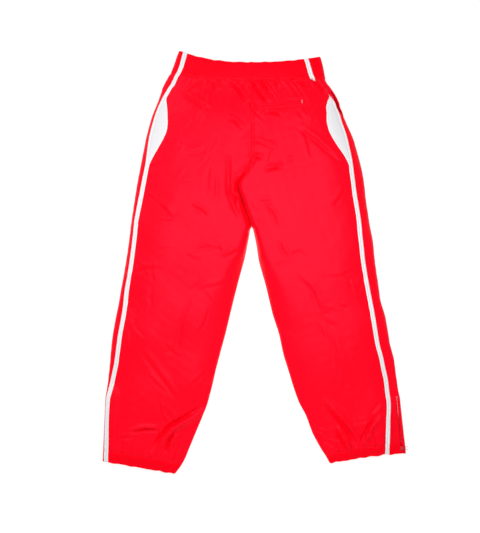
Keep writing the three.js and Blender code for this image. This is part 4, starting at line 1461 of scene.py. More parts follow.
@dataclass
class Shell:
    """The outer cloth of one leg: back, front and side panels."""

    leg: Leg
    back_columns: int = 96
    front_columns: int = 52

    def build(self) -> None:
        """Cuts the three panels."""
        self.back()
        self.front()
        self.side()

    def back(self) -> None:
        """The back panel, its edge lapped over the stripe where the hip folds."""
        leg, tailor = self.leg, Tailor(self.leg)
        lines = leg.lines(DEPTHS, 1)
        lap = leg.lap(DEPTHS)
        start = lines["panel"] - 0.5 - lap
        end = leg.girth(DEPTHS) - 0.06
        shares = np.linspace(0, 1, self.back_columns)
        shares = np.concatenate([[0, 0.002, 0.005], shares[1:-1], [0.995, 0.998, 1]])
        columns = between(start, end, shares)
        near = columns - start[:, None]
        over = lap[:, None] > 0.5
        raised = np.where(over, 2.2 * smoothstep(lap[:, None], 0.5, 5) * np.exp(-near / 16), 0)
        raised = raised - np.where(over, 1.6 * bell(near, 1.0), 0)
        seam = end[:, None] - columns
        joined = (1 - smoothstep(DEPTHS, 270, 310)) * (
            0.2 + 0.8 * smoothstep(DEPTHS, WAIST_CASING - 4, WAIST_CASING + 8)
        )
        joined = joined[:, None]
        ridge = 1.8 if leg.lay.side is Side.RIGHT else 0.6
        raised = raised + joined * (ridge * bell(seam - 6, 3.0) - 6.0 * bell(seam, 1.7))
        skin = tailor.skin(DEPTHS, columns, raised=raised)
        if leg.lay.side is Side.RIGHT:
            skin.keep = BACK_POCKET.cloth_left(skin)
        skin = skin.hemmed()
        tailor.sew(f"back_cloth_{leg.name}", skin, Finish.SHELL, f"back_panel_{leg.name}",
                   "shell", (0.36, 1.06))

    def front(self) -> None:
        """The front panel, which lies on the floor."""
        leg, tailor = self.leg, Tailor(self.leg)
        depths = DEPTHS[::2] if DEPTHS[::2][-1] == HEM else np.append(DEPTHS[::2], HEM)
        start = leg.lines(depths, -1)["panel"] + 0.5
        end = -(leg.girth(depths) - 0.06)
        columns = between(start, end, np.linspace(0, 1, self.front_columns))
        skin = tailor.skin(depths, columns).hemmed()
        tailor.sew(f"front_cloth_{leg.name}", skin, Finish.SHELL, f"front_panel_{leg.name}",
                   "shell", (0.36, 1.06))

    def side(self) -> None:
        """The side panel round the fold, slit for the hand pocket and open over the ankle zip."""
        leg, tailor = self.leg, Tailor(self.leg)
        seam = leg.roll(DEPTHS)
        front = leg.lines(DEPTHS, -1)["side"] - 0.4
        back = leg.lines(DEPTHS, 1)["side"] + 0.4
        share = np.clip((DEPTHS - SLIT_TOP) / SLIT_LENGTH, 0, 1)
        slit = (3.2 + 0.12 * leg.lay.slit_turn) * np.sin(math.pi * share) ** 0.5
        turned = smoothstep(share, 0, 0.04) * (1 - smoothstep(share, 0.36, 0.62))
        seam = seam + leg.lay.slit_turn * turned
        zip_open = 1.6 * smoothstep(DEPTHS, ZIP_TOP - 4, ZIP_TOP + 2)
        gape = np.maximum(slit, zip_open) + 0.02
        shares = np.concatenate([np.linspace(0, 0.93, 15), [0.965, 1.0]])
        columns = np.concatenate(
            [between(front, seam - gape, shares), between(seam + gape, back, 1 - shares[::-1])], 1
        )
        lips = np.abs(columns - seam[:, None]) - gape[:, None]
        opened = (gape > 0.6)[:, None]
        ridge = 0.7 - 0.6 * smoothstep(DEPTHS, SLIT_END, ZIP_TOP)[:, None]
        raised = np.where(opened, ridge * bell(lips - 2.5, 2.0) - 1.3 * bell(lips, 0.8), 0)
        skin = tailor.skin(DEPTHS, columns, raised=raised)
        keep = np.ones((len(DEPTHS) - 1, columns.shape[1] - 1), bool)
        keep[:, len(shares) - 1] = (gape[:-1] < 0.6) & (gape[1:] < 0.6)
        skin.keep = keep
        skin = skin.hemmed()
        tailor.sew(f"side_cloth_{leg.name}", skin, Finish.SHELL, f"side_panel_{leg.name}",
                   "shell", (0.06, 1.06))


@dataclass
class Stripes:
    """The pipings down both sides of one leg and the leaf between them at the hip."""

    leg: Leg

    def build(self) -> None:
        """Cuts the four pipings and the insert."""
        leg, tailor = self.leg, Tailor(self.leg)
        for facing, view in ((1, "back"), (-1, "front")):
            lines = leg.lines(DEPTHS, facing)
            for line in ("outer", "inner"):
                low = lines[line] + facing * 0.2
                high = lines[line] + facing * (PIPING - 0.2)
                columns = between(low, high, np.linspace(0, 1, 9))
                lift = 0.35 if facing > 0 else 0.1
                skin = tailor.skin(DEPTHS, columns, dip=0.5, dome=lift)
                if leg.lay.side is Side.RIGHT and facing > 0:
                    sink = 1.6 * smoothstep(leg.lap(DEPTHS), 0, 3)
                    skin.points = skin.points - skin.normals * sink[:, None, None]
                skin = skin.hemmed()
                tailor.sew(f"{view}_{line}_tape_{leg.name}", skin, Finish.PIPING,
                           f"{view}_{line}_piping_{leg.name}", "piping", (0.012, 1.06))
        top = INSERT_TOP - 1 - leg.lay.leaf_rise
        depths = DEPTHS[(DEPTHS > top) & (DEPTHS < INSERT_END + 1)]
        lines = leg.lines(depths, 1)
        columns = between(lines["insert"] - 0.6, lines["inner"] + 0.3, np.linspace(0, 1, 21))
        skin = tailor.skin(depths, columns, dip=0.9, dome=0.5)
        tailor.sew(f"hip_leaf_{leg.name}", skin, Finish.INSERT, f"hip_insert_{leg.name}",
                   "insert", (0.034, 0.172))


@dataclass(frozen=True)
class Ply:
    """A layer inside the casings: an elastic or its facing.

    Its middle lies offset along the normal, and its edge is lifted by rim at the garment's edge.
    """

    name: str
    node: str
    finish: Finish
    thickness: float
    offset: float
    rim: float = 0.0

    def raised(self, from_edge: Array) -> Array:
        """Lift of each row, from its distance to the garment's edge."""
        return self.rim * (1 - smoothstep(from_edge, 1.8, 3.0))[:, None]

    def sew(self, leg: Leg, band: str, side: str, skin: Skin, flat: tuple[float, float]) -> None:
        """Makes the layer of one band.

        Args:
            leg: whose tailor sews it.
            band: "waist" or "cuff".
            side: what follows in the names: nothing, or _ and the leg's side.
            skin: its middle surface.
            flat: size of the flat pattern, in metres; not used.
        """
        half = self.thickness / 2
        Tailor(leg).sew(f"{band}_{self.name}{side}", skin, self.finish, f"{band}_{self.node}{side}",
                        self.node, flat, -half, half, "gathered")


ELASTIC, FACING = 1.2, 0.8  # thicknesses
MIDDLE_PLY = -(LOWEST + 0.7 + ELASTIC / 2)
WEBBING = Ply("webbing", "elastic", Finish.ELASTIC, ELASTIC, MIDDLE_PLY)
LINING = Ply("lining", "facing", Finish.SHELL, FACING,
             MIDDLE_PLY - (ELASTIC + FACING) / 2 - SEAM - 0.1, 1.1)
RIM = np.array([1.2, 1.8, 2.4, 3.0])  # rows of a facing next to the garment's edge


@dataclass
class Bands:
    """The elastics and their facings in the waist and the cuffs."""

    step: float = 3.0
    clear: float = TAPE_WIDTH + CHAIN_SPLIT / 2 + 2

    def build(self) -> None:
        """Makes the waist's rings and each cuff's strips."""
        self.waist(WEBBING, np.linspace(3, WAIST_CASING - 4, 20))
        self.waist(LINING, np.concatenate([RIM, np.linspace(4, WAIST_CASING, 22)]))
        for leg in LEGS:
            self.cuff(leg, WEBBING, np.linspace(CUFF + 3, HEM - 3, 10))
            self.cuff(leg, LINING,
                      np.concatenate([np.linspace(CUFF, HEM - 4, 10), HEM - RIM[::-1]]))

    def loop(self, leg: Leg, depths: Array) -> Array:
        """Columns from the front seam round the folded edge to the back seam."""
        count = int(2 * leg.girth(np.array([0.0]))[0] / self.step)
        end = leg.girth(depths) - 0.6
        return between(-end, end, np.linspace(0, 1, count))

    def waist(self, ply: Ply, depths: Array) -> None:
        """A ring of cloth inside the waist: right half, then left half back to the start.

        Args:
            ply: which layer it is.
            depths: one for each row.
        """
        right, left = (
            Tailor(leg).skin(depths, self.loop(leg, depths), dip=0, offset=ply.offset,
                             raised=ply.raised(depths))
            for leg in (RIGHT, LEFT)
        )
        points = np.concatenate([right.points, left.points[:, ::-1], right.points[:, :1]], 1)
        normals = np.concatenate([right.normals, left.normals[:, ::-1], right.normals[:, :1]], 1)
        places = np.concatenate(
            [right.places, 800 - left.places[:, ::-1] * [1, -1] - [0, 800]], 1
        )
        places = np.concatenate([places, places[:, -1:] + [1, 0]], 1)
        ply.sew(RIGHT, "waist", "", Skin(points, normals, places), (0.056, 0.80))

    def cuff(self, leg: Leg, ply: Ply, depths: Array) -> None:
        """A strip from one side of the ankle zip, over the back and under the front to the other.

        Args:
            leg: whose cuff it is in.
            ply: which layer it is.
            depths: one for each row.
        """
        roll = leg.roll(depths)
        end = leg.girth(depths)
        shares = np.linspace(0, 1, int(end[0] / self.step))
        back = between(roll + self.clear, end - 0.2, shares)
        front = between(-end + 0.2, roll - self.clear, shares)
        skin = Tailor(leg).skin(depths, np.concatenate([back, front], 1), dip=0,
                                offset=ply.offset, raised=ply.raised(HEM - depths))
        ply.sew(leg, "cuff", f"_{leg.name}", skin, (0.026, 0.42))


# ------------------------------------------------------------------ pockets
class BackPocket:
    """The right back pocket: two welt lips over a hidden zip, and a bag under the panel."""

    half = BACK_ZIP / 2

    def __init__(self) -> None:
        """Works out the zip's frame: x outwards along it, y to the waist, z out of the cloth."""
        depth = BACK_ZIP_DEPTH
        width = float(RIGHT.edges(np.array(depth), False)[4])
        fold = float(FOLD(depth))
        around = width - BACK_ZIP_INSET - self.half + (math.pi / 2 - 1) * fold
        self.origin, self.z = RIGHT.frame_at(np.array(depth), np.array(around))
        tilt = math.radians(BACK_ZIP_TILT)
        along = np.array([math.cos(tilt), math.sin(tilt), 0.0])
        self.y = np.cross(self.z, along)
        self.y = self.y / np.linalg.norm(self.y)
        self.x = np.cross(self.y, self.z)
        self.axes = np.stack([self.x, self.y, self.z])

    def world(self, local: Array) -> Array:
        """Places of points given in the zip's frame."""
        return self.origin + local @ self.axes

    def cloth_left(self, skin: Skin) -> Array:
        """Finds the cells of the back panel that stay, outside the welt's window.

        Args:
            skin: the panel.

        Returns:
            True for each cell that stays.
        """
        centres = (skin.points[1:, 1:] + skin.points[:-1, :-1]) / 2 - self.origin
        local = centres @ self.axes.T
        window = (np.abs(local[..., 0]) < self.half - 1) & (np.abs(local[..., 1]) < 3.4)
        return ~window

    def build(self) -> None:
        """Makes the lips, the tapes, the coils and the bag."""
        for sign, place in ((1, "upper"), (-1, "lower")):
            self.lip(sign, place)
            self.tape(sign, place)
            self.coil(sign, place)
        self.bag()

    def strip(self, xs: Array, ys: Array, height: Callable[[Array, Array], Array]) -> Skin:
        """A grid in the zip's frame.

        Args:
            xs: places along the zip.
            ys: places towards the waist.
            height: gives z from x and y.

        Returns:
            The skin.
        """
        x, y = np.meshgrid(xs, ys, indexing="ij")
        local = np.stack([x, y, height(x, y)], -1)
        up = np.broadcast_to(self.z, local.shape)
        return Skin(self.world(local), up, np.stack([x, y + BACK_ZIP_DEPTH], -1))

    def lip(self, sign: int, place: str) -> None:
        """A folded welt: a half round edge at the slot that flattens into the panel.

        Args:
            sign: 1 for the side towards the waist, -1 for the other.
            place: its word in the names.
        """
        ys = sign * np.concatenate([np.linspace(0.3, 1.5, 7), np.linspace(1.9, 7.2, 9)])
        xs = np.linspace(-self.half - 2.5, self.half + 2.5, 80)
        wave = Wander(7 if sign > 0 else 8, 30)

        def height(x: Array, y: Array) -> Array:
            inset = np.abs(y) - 0.3
            roll = -1.0 * np.clip(1 - inset / 1.1, 0, 1) ** 2
            tail = -0.9 * smoothstep(np.abs(y), 5.6, 7.2)
            ends = -1.0 * smoothstep(np.abs(x), self.half, self.half + 2.5)
            return 0.95 + roll + tail + ends + 0.12 * wave.line(x)

        skin = self.strip(xs, ys, height)
        Tailor(RIGHT).sew(f"pocket_welt_{place}", skin, Finish.SHELL, f"back_pocket_lip_{place}",
                          "shell", (0.014, 0.12), -0.35, 0.25)

    def tape(self, sign: int, place: str) -> None:
        """A zip tape under the welt.

        Args:
            sign: as for lip.
            place: as for lip.
        """
        skin = self.strip(np.linspace(-self.half, self.half, 40),
                          sign * np.linspace(CHAIN_GAP / 2, TAPE_WIDTH - 2, 8),
                          lambda x, _: -2.8 + 0 * x)
        Tailor(RIGHT).sew(f"pocket_tape_{place}", skin, Finish.TAPE, f"back_zip_tape_{place}",
                          "tape", (0.0105, 0.113), -0.3, 0.3)

    def coil(self, sign: int, place: str) -> None:
        """The teeth of one side, every 1.3 mm.

        Args:
            sign: as for lip.
            place: as for lip.
        """
        xs = np.arange(-self.half + 3.5, self.half - 3.5, 1.3) + 0.32 * sign
        local = np.stack([xs, 0 * xs + sign * (CHAIN_GAP / 2 + 0.75), 0 * xs - 4.2], -1)
        along = np.broadcast_to(self.y, local.shape)
        up = np.broadcast_to(self.z, local.shape)
        teeth(f"pocket_teeth_{place}", f"back_zip_coil_{place}", self.world(local), along, up,
              0.45, 0.6)

    def bag(self) -> None:
        """A pouch under the panel: two layers joined all round, cut open under the zip.

        Round its section it goes from the zip's upper side over the top, down the far edge and
        back underneath; its thickness closes as the fourth root of the distance to either end.
        """
        depths = np.linspace(BACK_ZIP_DEPTH - 18, BACK_ZIP_DEPTH + 115, 46)
        outer_x, outer_y, inner_x, inner_y, width = RIGHT.edges(depths, False)
        turn = np.linspace(0, math.tau, 49)
        near, far = BACK_ZIP_INSET - 4, BACK_ZIP_INSET + BACK_ZIP + 4
        share = np.linspace(0, 1, len(depths))
        belly = np.clip(4 * share * (1 - share), 0, 1)[:, None] ** 0.3
        from_seam = (near + far) / 2 + (far - near) / 2 * signed_power(np.cos(turn), 0.5)
        round_ = signed_power(np.sin(turn), 0.5)
        sunk = 6.6 + 4.5 * smoothstep(share, 0.2, 0.4)
        under = (LOFT(depths) - sunk)[:, None]
        z = under + 4.0 * round_ * belly + 0.3 * Wander(3, 40).line(from_seam)
        part = from_seam / width[:, None]
        x = inner_x[:, None] + (outer_x - inner_x)[:, None] * part
        y = inner_y[:, None] + (outer_y - inner_y)[:, None] * part
        points = np.stack([x, y, z], -1)
        centre = points.mean(1, keepdims=True)
        places = np.stack(np.broadcast_arrays(turn * 40, depths[:, None]), -1)
        local = ((points[1:, 1:] + points[:-1, :-1]) / 2 - self.origin) @ self.axes.T
        open_ = (np.abs(local[..., 0]) < self.half) & (np.abs(local[..., 1]) < 8)
        keep = ~(open_ & (local[..., 2] > -6))
        skin = Skin(points, points - centre, places, keep)
        Tailor(RIGHT).sew("back_pocket_pouch", skin, Finish.LINING, "back_pocket_bag",
                          "pocketing", (0.24, 0.135), -0.3, 0.1)


BACK_POCKET = BackPocket()


@dataclass
class HandPocket:
    """The bag behind the slit in one side panel."""

    leg: Leg

    def build(self) -> None:
        """Makes the pouch: a flat loop that starts and ends at the slit and closes at its ends.

        Round its section it goes in from the slit's upper lip, round the far edge and back to its
        lower lip.
        """
        leg = self.leg
        depths = np.linspace(SLIT_TOP - 6, SLIT_END + BAG_DROP - 2, 60)
        outer_x, outer_y, inner_x, inner_y, width = leg.edges(depths, False)
        centre = CLOTH + 0.6 + 10.5 / 2
        middle = LOWEST + FOLD(depths)
        share = np.linspace(0, 1, len(depths))
        belly = np.clip(4 * share * (1 - share), 0, 1) ** 0.35
        go = np.linspace(-1, 1, 61)
        across = 4.6 + (BAG_WIDTH - 5) * (1 - np.abs(go) ** 1.8)
        rounded_far = np.sign(go) * np.clip(np.abs(go) * 7, 0, 1) ** 0.5
        open_near = smoothstep(across, 4, 18)
        half = (3.6 + open_near)[None] * (0.25 + 0.75 * belly[:, None])
        level = middle[:, None] + (centre - middle[:, None]) * open_near
        z = level + half * rounded_far
        part = across[None] / width[:, None]
        x = outer_x[:, None] + (inner_x - outer_x)[:, None] * part
        y = outer_y[:, None] + (inner_y - outer_y)[:, None] * part
        points = np.stack([x, y, z], -1)
        up = np.zeros_like(points)
        up[..., 2] = np.sign(go) + 1e-3
        places = np.stack(np.broadcast_arrays(go * BAG_WIDTH, depths[:, None]), -1)
        skin = Skin(points, up, places)
        Tailor(leg).sew(f"hand_pocket_pouch_{leg.name}", skin, Finish.LINING,
                        f"hand_pocket_bag_{leg.name}", "pocketing", (0.31, 0.225), -0.3, 0.1)


# ------------------------------------------------------------------ hardware
@dataclass
class Slider:
    """A zip slider with its pull, in a frame of x across, y to the closed chain and z outwards."""

    origin: Array
    axes: Array
    under: float
    over: float
    bar: float
    finish: Finish
    length: float = 10.0
    width: float = 7.2

    def world(self, local: Array) -> Array:
        """Places of points given in the slider's frame."""
        return self.origin + local @ self.axes

    def plate(self, low: float, high: float) -> Shape:
        """A shield-shaped plate with rounded rims.

        Args:
            low: the height of its lower face.
            high: the height of its upper face.

        Returns:
            Six rings of its outline, drawn in at the two faces, and closed.
        """
        turn = np.linspace(0, math.tau, 40, endpoint=False)
        half = self.length / 2
        y = np.sin(turn)
        wide = self.width / 2 * (1 - 0.2 * smoothstep(y, -0.2, 1.0))
        outline = np.stack(
            [wide * signed_power(np.cos(turn), 0.55), half * y * (0.9 + 0.1 * np.abs(y)) * -1], -1
        )
        rings = np.array(
            [[0.80, 0.0], [0.94, 0.06], [1.0, 0.3], [1.0, 0.7], [0.94, 0.94], [0.78, 1.0]]
        )
        verts = np.concatenate(
            [np.column_stack([outline * scale, np.full(40, low + (high - low) * level)])
             for scale, level in rings]
        )
        return capped(verts, len(rings), 40)

    def body(self, name: str, node: str, slot: str) -> None:
        """Both plates, the post between them and the arched bar, in one mesh.

        Args:
            name: the object's name.
            node: the CAD node it stands for, which is also the body it rides on.
            slot: its slot; not used.
        """
        pieces = [self.plate(self.under - PLATE, self.under),
                  self.plate(self.over, self.over + PLATE)]
        turn = np.linspace(0, math.pi, 19)
        foot = self.over + PLATE - 0.3
        arch = np.stack(
            [0 * turn, 3.3 * signed_power(np.cos(turn), 0.6),
             foot + (self.bar - foot) * np.sin(turn) ** 0.45], -1
        )
        radius = 0.5 + 0.1 * np.abs(np.cos(turn))
        pieces.append(capped(tube(arch, radius, 10, False)[0], len(arch), 10))
        post = np.array([[0, -3.0, self.under - 0.2], [0, -3.0, self.over + 0.2]])
        ring = np.linspace(0, math.tau, 10, endpoint=False)
        oval = np.column_stack([0.34 * np.cos(ring), 1.4 * np.sin(ring), 0 * ring])
        pieces.append(capped(np.concatenate([post[0] + oval, post[1] + oval]), 2, 10))
        self.place(name, node, slot, pieces)

    def place(self, name: str, node: str, slot: str, pieces: list[Shape]) -> None:
        """Joins closed shapes into one object.

        Args:
            name: the object's name.
            node: the CAD node it stands for, which is also the body it rides on.
            slot: its slot; not used.
            pieces: shapes in the slider's frame.
        """
        verts, faces, count = [], [], 0
        for points, quads in pieces:
            moved = self.world(points)
            verts.append(moved)
            faces.extend(f + count for f in facing_out(moved, quads))
            count += len(points)
        mount(mesh_object(name, np.concatenate(verts), faces, self.finish), node, slot, node)

    def link_path(self, length: float, droop: float) -> Array:
        """The centre line of a long link through the arch.

        Args:
            length: between the centres of its two ends.
            droop: how far it leans down, in degrees.

        Returns:
            Points in the slider's frame.
        """
        radius = LINK_EYE + LINK_WALL / 2
        turn = np.linspace(math.pi / 2, 3 * math.pi / 2, 13)
        near = np.stack([radius * np.cos(turn), 0 * turn, radius * np.sin(turn)], -1)
        path = np.concatenate([near, near[::-1] * [-1, 1, 1] + [length, 0, 0]])
        return self.leaned(path, droop)

    def leaned(self, points: Array, degrees: float) -> Array:
        """Points turned about the bar's line, x towards -z, and lifted to the bar.

        Args:
            points: rows of x, y and z.
            degrees: of the turn.

        Returns:
            The moved points.
        """
        angle = math.radians(degrees)
        x, z = points[:, 0].copy(), points[:, 2].copy()
        turned = np.column_stack(
            [x * math.cos(angle) + z * math.sin(angle), points[:, 1],
             -x * math.sin(angle) + z * math.cos(angle)]
        )
        return turned + [0, 0, self.bar]


@dataclass
class AnkleZip:
    """The zip of one ankle: tapes, teeth, slider, link and ring."""

    leg: Leg
    droop: float
    ring_droop: float

    def build(self) -> None:
        """Makes the zip's pieces."""
        self.tapes()
        self.teeth()
        self.hardware()

    def tapes(self) -> None:
        """Two woven tapes under the opening, following the cloth."""
        leg, tailor = self.leg, Tailor(self.leg)
        depths = np.append(DEPTHS[DEPTHS > ZIP_TOP - 1][:-1], HEM - 1)
        offset = -(LOWEST + SEAM + TAPE / 2)
        for facing, place in ((1, "back"), (-1, "front")):
            edge = leg.roll(depths) + facing * CHAIN_GAP / 2
            columns = between(edge, edge + facing * TAPE_WIDTH, np.linspace(0, 1, 9))
            skin = tailor.skin(depths, columns, dip=0, offset=offset)
            tailor.sew(f"ankle_tape_{place}_{leg.name}", skin, Finish.TAPE,
                       f"ankle_zip_tape_{place}_{leg.name}", "tape", (0.0115, 0.152), -0.35, 0.35)

    def teeth(self) -> None:
        """Teeth of each side as bars across the chain, the two sides half a pitch apart."""
        leg = self.leg
        lift = COIL / 2 - LOWEST + 0.25
        for facing, place in ((1, "back"), (-1, "front")):
            depths = np.arange(ZIP_TOP + 1, HEM - 2, 1.35) + 0.34 * facing
            around = leg.roll(depths) + facing * (CHAIN_GAP / 2 + 0.72)
            points, normals = leg.point(depths, around)
            ahead, _ = leg.point(depths, around + facing * 0.2)
            along = ahead - points
            along = along / np.linalg.norm(along, axis=1, keepdims=True)
            teeth(f"ankle_teeth_{place}_{leg.name}", f"ankle_zip_coil_{place}_{leg.name}",
                  points + normals * lift, along, normals, 0.46, 0.55)

    def frame(self) -> tuple[Array, Array]:
        """The slider's frame at its rest place.

        Returns:
            Its origin, and its axes: across the track, up the leg and outwards.
        """
        ends = [self.leg.frame_at(np.array(d), self.leg.roll(np.array(d))) for d in
                (HEM - 13, ZIP_TOP + 10)]
        along = ends[1][0] - ends[0][0]
        along = along / np.linalg.norm(along)
        across = np.cross(along, ends[0][1])
        across = across / np.linalg.norm(across)
        return ends[0][0], np.stack([across, along, np.cross(across, along)])

    def hardware(self) -> None:
        """The slider, its long link and the ring through the link's end."""
        name = self.leg.name
        origin, axes = self.frame()
        tape_top = -(LOWEST + SEAM)
        over = tape_top + SEAM + COIL + 0.5
        under = tape_top - TAPE - 0.7
        bar = over + PLATE + LINK_EYE + LINK_WALL + 0.3
        slider = Slider(origin, axes, under, over, bar, Finish.ENAMEL)
        slider.body(f"ankle_runner_{name}", f"ankle_slider_{name}", "enamel")
        link = tube(slider.link_path(LINK, self.droop), LINK_WIRE, 10, True)
        slider.place(f"ankle_link_{name}", f"ankle_pull_{name}", "enamel", [link])
        turn = np.linspace(0, math.tau, 44, endpoint=False)
        circle = np.stack(
            [RING_RADIUS + RING_RADIUS * np.cos(turn), RING_RADIUS * np.sin(turn), 0 * turn], -1
        )
        hung = slider.leaned(circle, self.droop + self.ring_droop) - [0, 0, bar]
        end = slider.leaned(np.array([[LINK, 0.0, 0.0]]), self.droop)
        ring = tube(hung + end, RING_WIRE, 12, True)
        slider.finish = Finish.METAL
        slider.place(f"ankle_loop_{name}", f"ankle_ring_{name}", "metal", [ring])


@dataclass
class BackSlider:
    """The back pocket's slider and its short pull."""

    rest: float = 6.5
    link: float = 4.6
    tape_top: float = -2.4

    def build(self) -> None:
        """Makes the slider and the pull."""
        pocket = BACK_POCKET
        origin = pocket.world(np.array([BACK_ZIP / 2 - self.rest, 0.0, 0.0]))
        axes = np.stack([pocket.y, -pocket.x, pocket.z])
        bar = LOWEST + LINK_EYE + LINK_WALL + 0.3
        under = self.tape_top - TAPE - SEAM - COIL - 0.5
        slider = Slider(origin, axes, under, self.tape_top + SEAM, bar, Finish.ENAMEL)
        slider.body("pocket_runner", "back_pocket_slider", "metal")
        slider.finish = Finish.METAL
        link = tube(slider.link_path(self.link, 0.0), LINK_WIRE, 10, True)
        slider.place("pocket_link", "back_pocket_pull", "metal", [link])


# ------------------------------------------------------------------ sewing
@dataclass
class Stitching:
    """Rows of lock stitch laid on the cloth."""

    stitch: float = 2.5
    pitch: float = 3.3
    made: list[tuple[Array, Array]] = field(default_factory=list)

    def row(self, leg: Leg, depth: Callable[[Array], Array],
            around: Callable[[Array], Array]) -> None:
        """Lays a row of stitches along a line.

        Args:
            leg: the leg it is on.
            depth: gives the depth at a share of the line from 0 to 1.
            around: gives the reach there.
        """
        share = np.linspace(0, 1, 900)
        depths, reaches = depth(share) + 0 * share, around(share) + 0 * share
        points, _ = leg.point(depths, reaches)
        arc = np.concatenate([[0], np.cumsum(np.linalg.norm(np.diff(points, axis=0), axis=1))])
        places = np.arange(self.pitch / 2, arc[-1], self.pitch)
        at = np.interp(places, arc, share)
        step = 0.6 / max(arc[-1], 1)
        (behind, _), (centre, normal), (ahead, _) = (
            leg.point(np.interp(s, share, depths), np.interp(s, share, reaches))
            for s in (at - step, at, at + step)
        )
        along = ahead - behind
        length = np.linalg.norm(along, axis=1, keepdims=True)
        good = length[:, 0] > 1e-6
        along = along[good] / length[good]
        up = normal[good] - (normal[good] * along).sum(1, keepdims=True) * along
        up = up / np.linalg.norm(up, axis=1, keepdims=True)
        self.made.append(
            beads(centre[good] + normal[good] * STITCH_LIFT, along, up,
                  (self.stitch / 2, 0.26, 0.2))
        )

    def build(self) -> None:
        """Sews the casings, the zips, the pockets and the seams."""
        for leg in LEGS:
            end = leg.girth(np.array([0.0]))[0]
            for lift in (2.2, 4.6):
                self.row(leg, lambda s, k=lift: 0 * s + WAIST_CASING - k,
                         lambda s: -end + 2 + (2 * end - 4) * s)
            cuff_end = leg.girth(np.array([CUFF + 2]))[0]
            seam = float(leg.roll(np.array([CUFF]))[0])
            for low, high in ((seam + 6, cuff_end - 2), (-cuff_end + 2, seam - 6)):
                self.row(leg, lambda s: 0 * s + CUFF + 2, lambda s, a=low, b=high: a + (b - a) * s)
            for facing in (1, -1):
                self.row(leg, lambda s: ZIP_TOP - 2 + (ZIP_LENGTH - 2) * s,
                         lambda s, f=facing: leg.roll(ZIP_TOP - 2 + (ZIP_LENGTH - 2) * s) + f * 5.4)
                self.row(leg, lambda s: SLIT_TOP + SLIT_LENGTH * s,
                         lambda s, f=facing: leg.roll(SLIT_TOP + SLIT_LENGTH * s) + f * 7.0)
            LOG.info("stitching of the %s leg: %d rows", leg.name, len(self.made))
        self.row(LEFT, lambda s: 3 + 262 * s, lambda s: LEFT.girth(3 + 262 * s) - 3.4)
        made = [m for m in self.made if len(m[0])]
        offsets = np.cumsum([0] + [len(v) for v, _ in made])[:-1]
        verts = np.concatenate([v for v, _ in made])
        quads = np.concatenate([q + k for (_, q), k in zip(made, offsets)])
        thread = mesh_object("seam_thread", verts, [quads], Finish.THREAD,
                             verts[:, :2].copy(), 80)
        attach(thread, "pants")


# ------------------------------------------------------------------ studio
@dataclass(frozen=True)
class Softbox:
    """A square area light that aims at the garment's middle, in metres and watts."""

    name: str
    place: tuple[float, float, float]
    size: float
    power: float

    def build(self) -> None:
        """Makes the light."""
        light = bpy.data.lights.new(self.name, "AREA")
        light.size = self.size
        light.energy = self.power
        made = bpy.data.objects.new(self.name, light)
        made.location = self.place
        made.rotation_euler = (-made.location).to_track_quat("-Z", "Y").to_euler()
        made.visible_camera = False
        bpy.context.scene.collection.objects.link(made)


SOFTBOXES = (
    Softbox("side softbox", (-1.7, 1.7, 2.0), 1.2, 30.0),
    Softbox("low softbox", (0.2, -2.3, 1.3), 1.2, 9.0),
    Softbox("near softbox", (0.03, 0.1, 0.95), 0.45, 6.5),
)


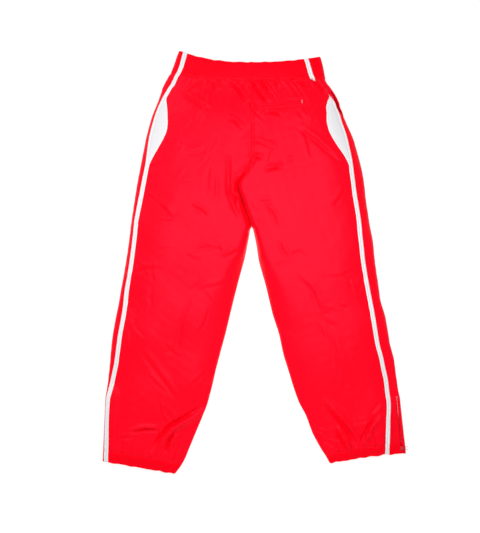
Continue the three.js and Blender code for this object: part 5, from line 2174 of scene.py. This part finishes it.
@dataclass
class Studio:
    """The pale floor, soft lights and the camera straight overhead, in metres."""

    height: float = 6.0
    centre: tuple[float, float] = (-0.0389, -0.0142)
    view_height: float = 1.3325  # seen from top to bottom of the frame
    sensor: float = 36.0
    floor_half: float = 9.0
    floor_level: float = -0.0004
    floor_grey: float = 0.3
    floor_glow: float = 0.82
    surround: float = 0.55  # brightness of the surround that lights the pants

    def build(self) -> None:
        """Makes the floor, the light and the camera."""
        self.floor()
        self.lights()
        self.camera()

    def floor(self) -> None:
        """A plain matt floor just under the cloth."""
        mesh = bpy.data.meshes.new("floor")
        half = self.floor_half
        mesh.from_pydata([(-half, -half, 0), (half, -half, 0), (half, half, 0), (-half, half, 0)],
                         [], [(0, 1, 2, 3)])
        mesh.transform(Matrix.Translation((0, 0, self.floor_level)))
        graph = Graph("pale floor")
        graph.set(Base_Color=(*[self.floor_grey] * 3, 1), Roughness=0.9, Specular_IOR_Level=0.1,
                  Emission_Color=(1, 1, 1, 1), Emission_Strength=self.floor_glow)
        mesh.materials.append(graph.material)
        made = bpy.data.objects.new("floor", mesh)
        bpy.context.scene.collection.objects.link(made)

    def lights(self) -> None:
        """An even white surround, brighter to the camera, and the soft boxes."""
        world = bpy.data.worlds.new("surround")
        world.use_nodes = True
        background = world.node_tree.nodes["Background"]
        background.inputs[0].default_value = (1, 1, 1, 1)
        path = world.node_tree.nodes.new("ShaderNodeLightPath")
        bright = world.node_tree.nodes.new("ShaderNodeMapRange")
        bright.inputs["To Min"].default_value = self.surround
        bright.inputs["To Max"].default_value = 1.0
        world.node_tree.links.new(path.outputs["Is Camera Ray"], bright.inputs["Value"])
        world.node_tree.links.new(bright.outputs[0], background.inputs[1])
        bpy.context.scene.world = world
        for softbox in SOFTBOXES:
            softbox.build()
        view = bpy.context.scene.view_settings
        view.view_transform = "Standard"
        view.look = "None"

    def camera(self) -> None:
        """A long lens looking straight down, with the waist at the top of the frame."""
        data = bpy.data.cameras.new("overhead")
        data.sensor_width = self.sensor
        data.lens = self.sensor * (self.height - 0.02) / self.view_height
        data.clip_end = 50
        made = bpy.data.objects.new("overhead", data)
        made.location = (*self.centre, self.height)
        bpy.context.scene.collection.objects.link(made)
        bpy.context.scene.camera = made


class Metals(Enum):
    """CAD nodes that keep their shape, and the finish each gets."""

    LEFT_STOP = ("ankle_zip_stop_left", Finish.METAL)
    RIGHT_STOP = ("ankle_zip_stop_right", Finish.METAL)

    def dress(self) -> None:
        """Gives the node its finish."""
        node, finish = self.value
        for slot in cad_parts[node].material_slots:
            slot.material = finish.material()


def main() -> None:
    """Builds the pants piece by piece, then the studio."""
    logging.basicConfig(level=logging.INFO, format="%(message)s")
    for leg in LEGS:
        Shell(leg).build()
        Stripes(leg).build()
        HandPocket(leg).build()
    Bands().build()
    BACK_POCKET.build()
    BackSlider().build()
    AnkleZip(LEFT, 0.0, 0.0).build()
    AnkleZip(RIGHT, 3.0, 22.0).build()
    Stitching().build()
    for metal in Metals:
        metal.dress()
    Studio().build()


if __name__ == "__main__":
    main()
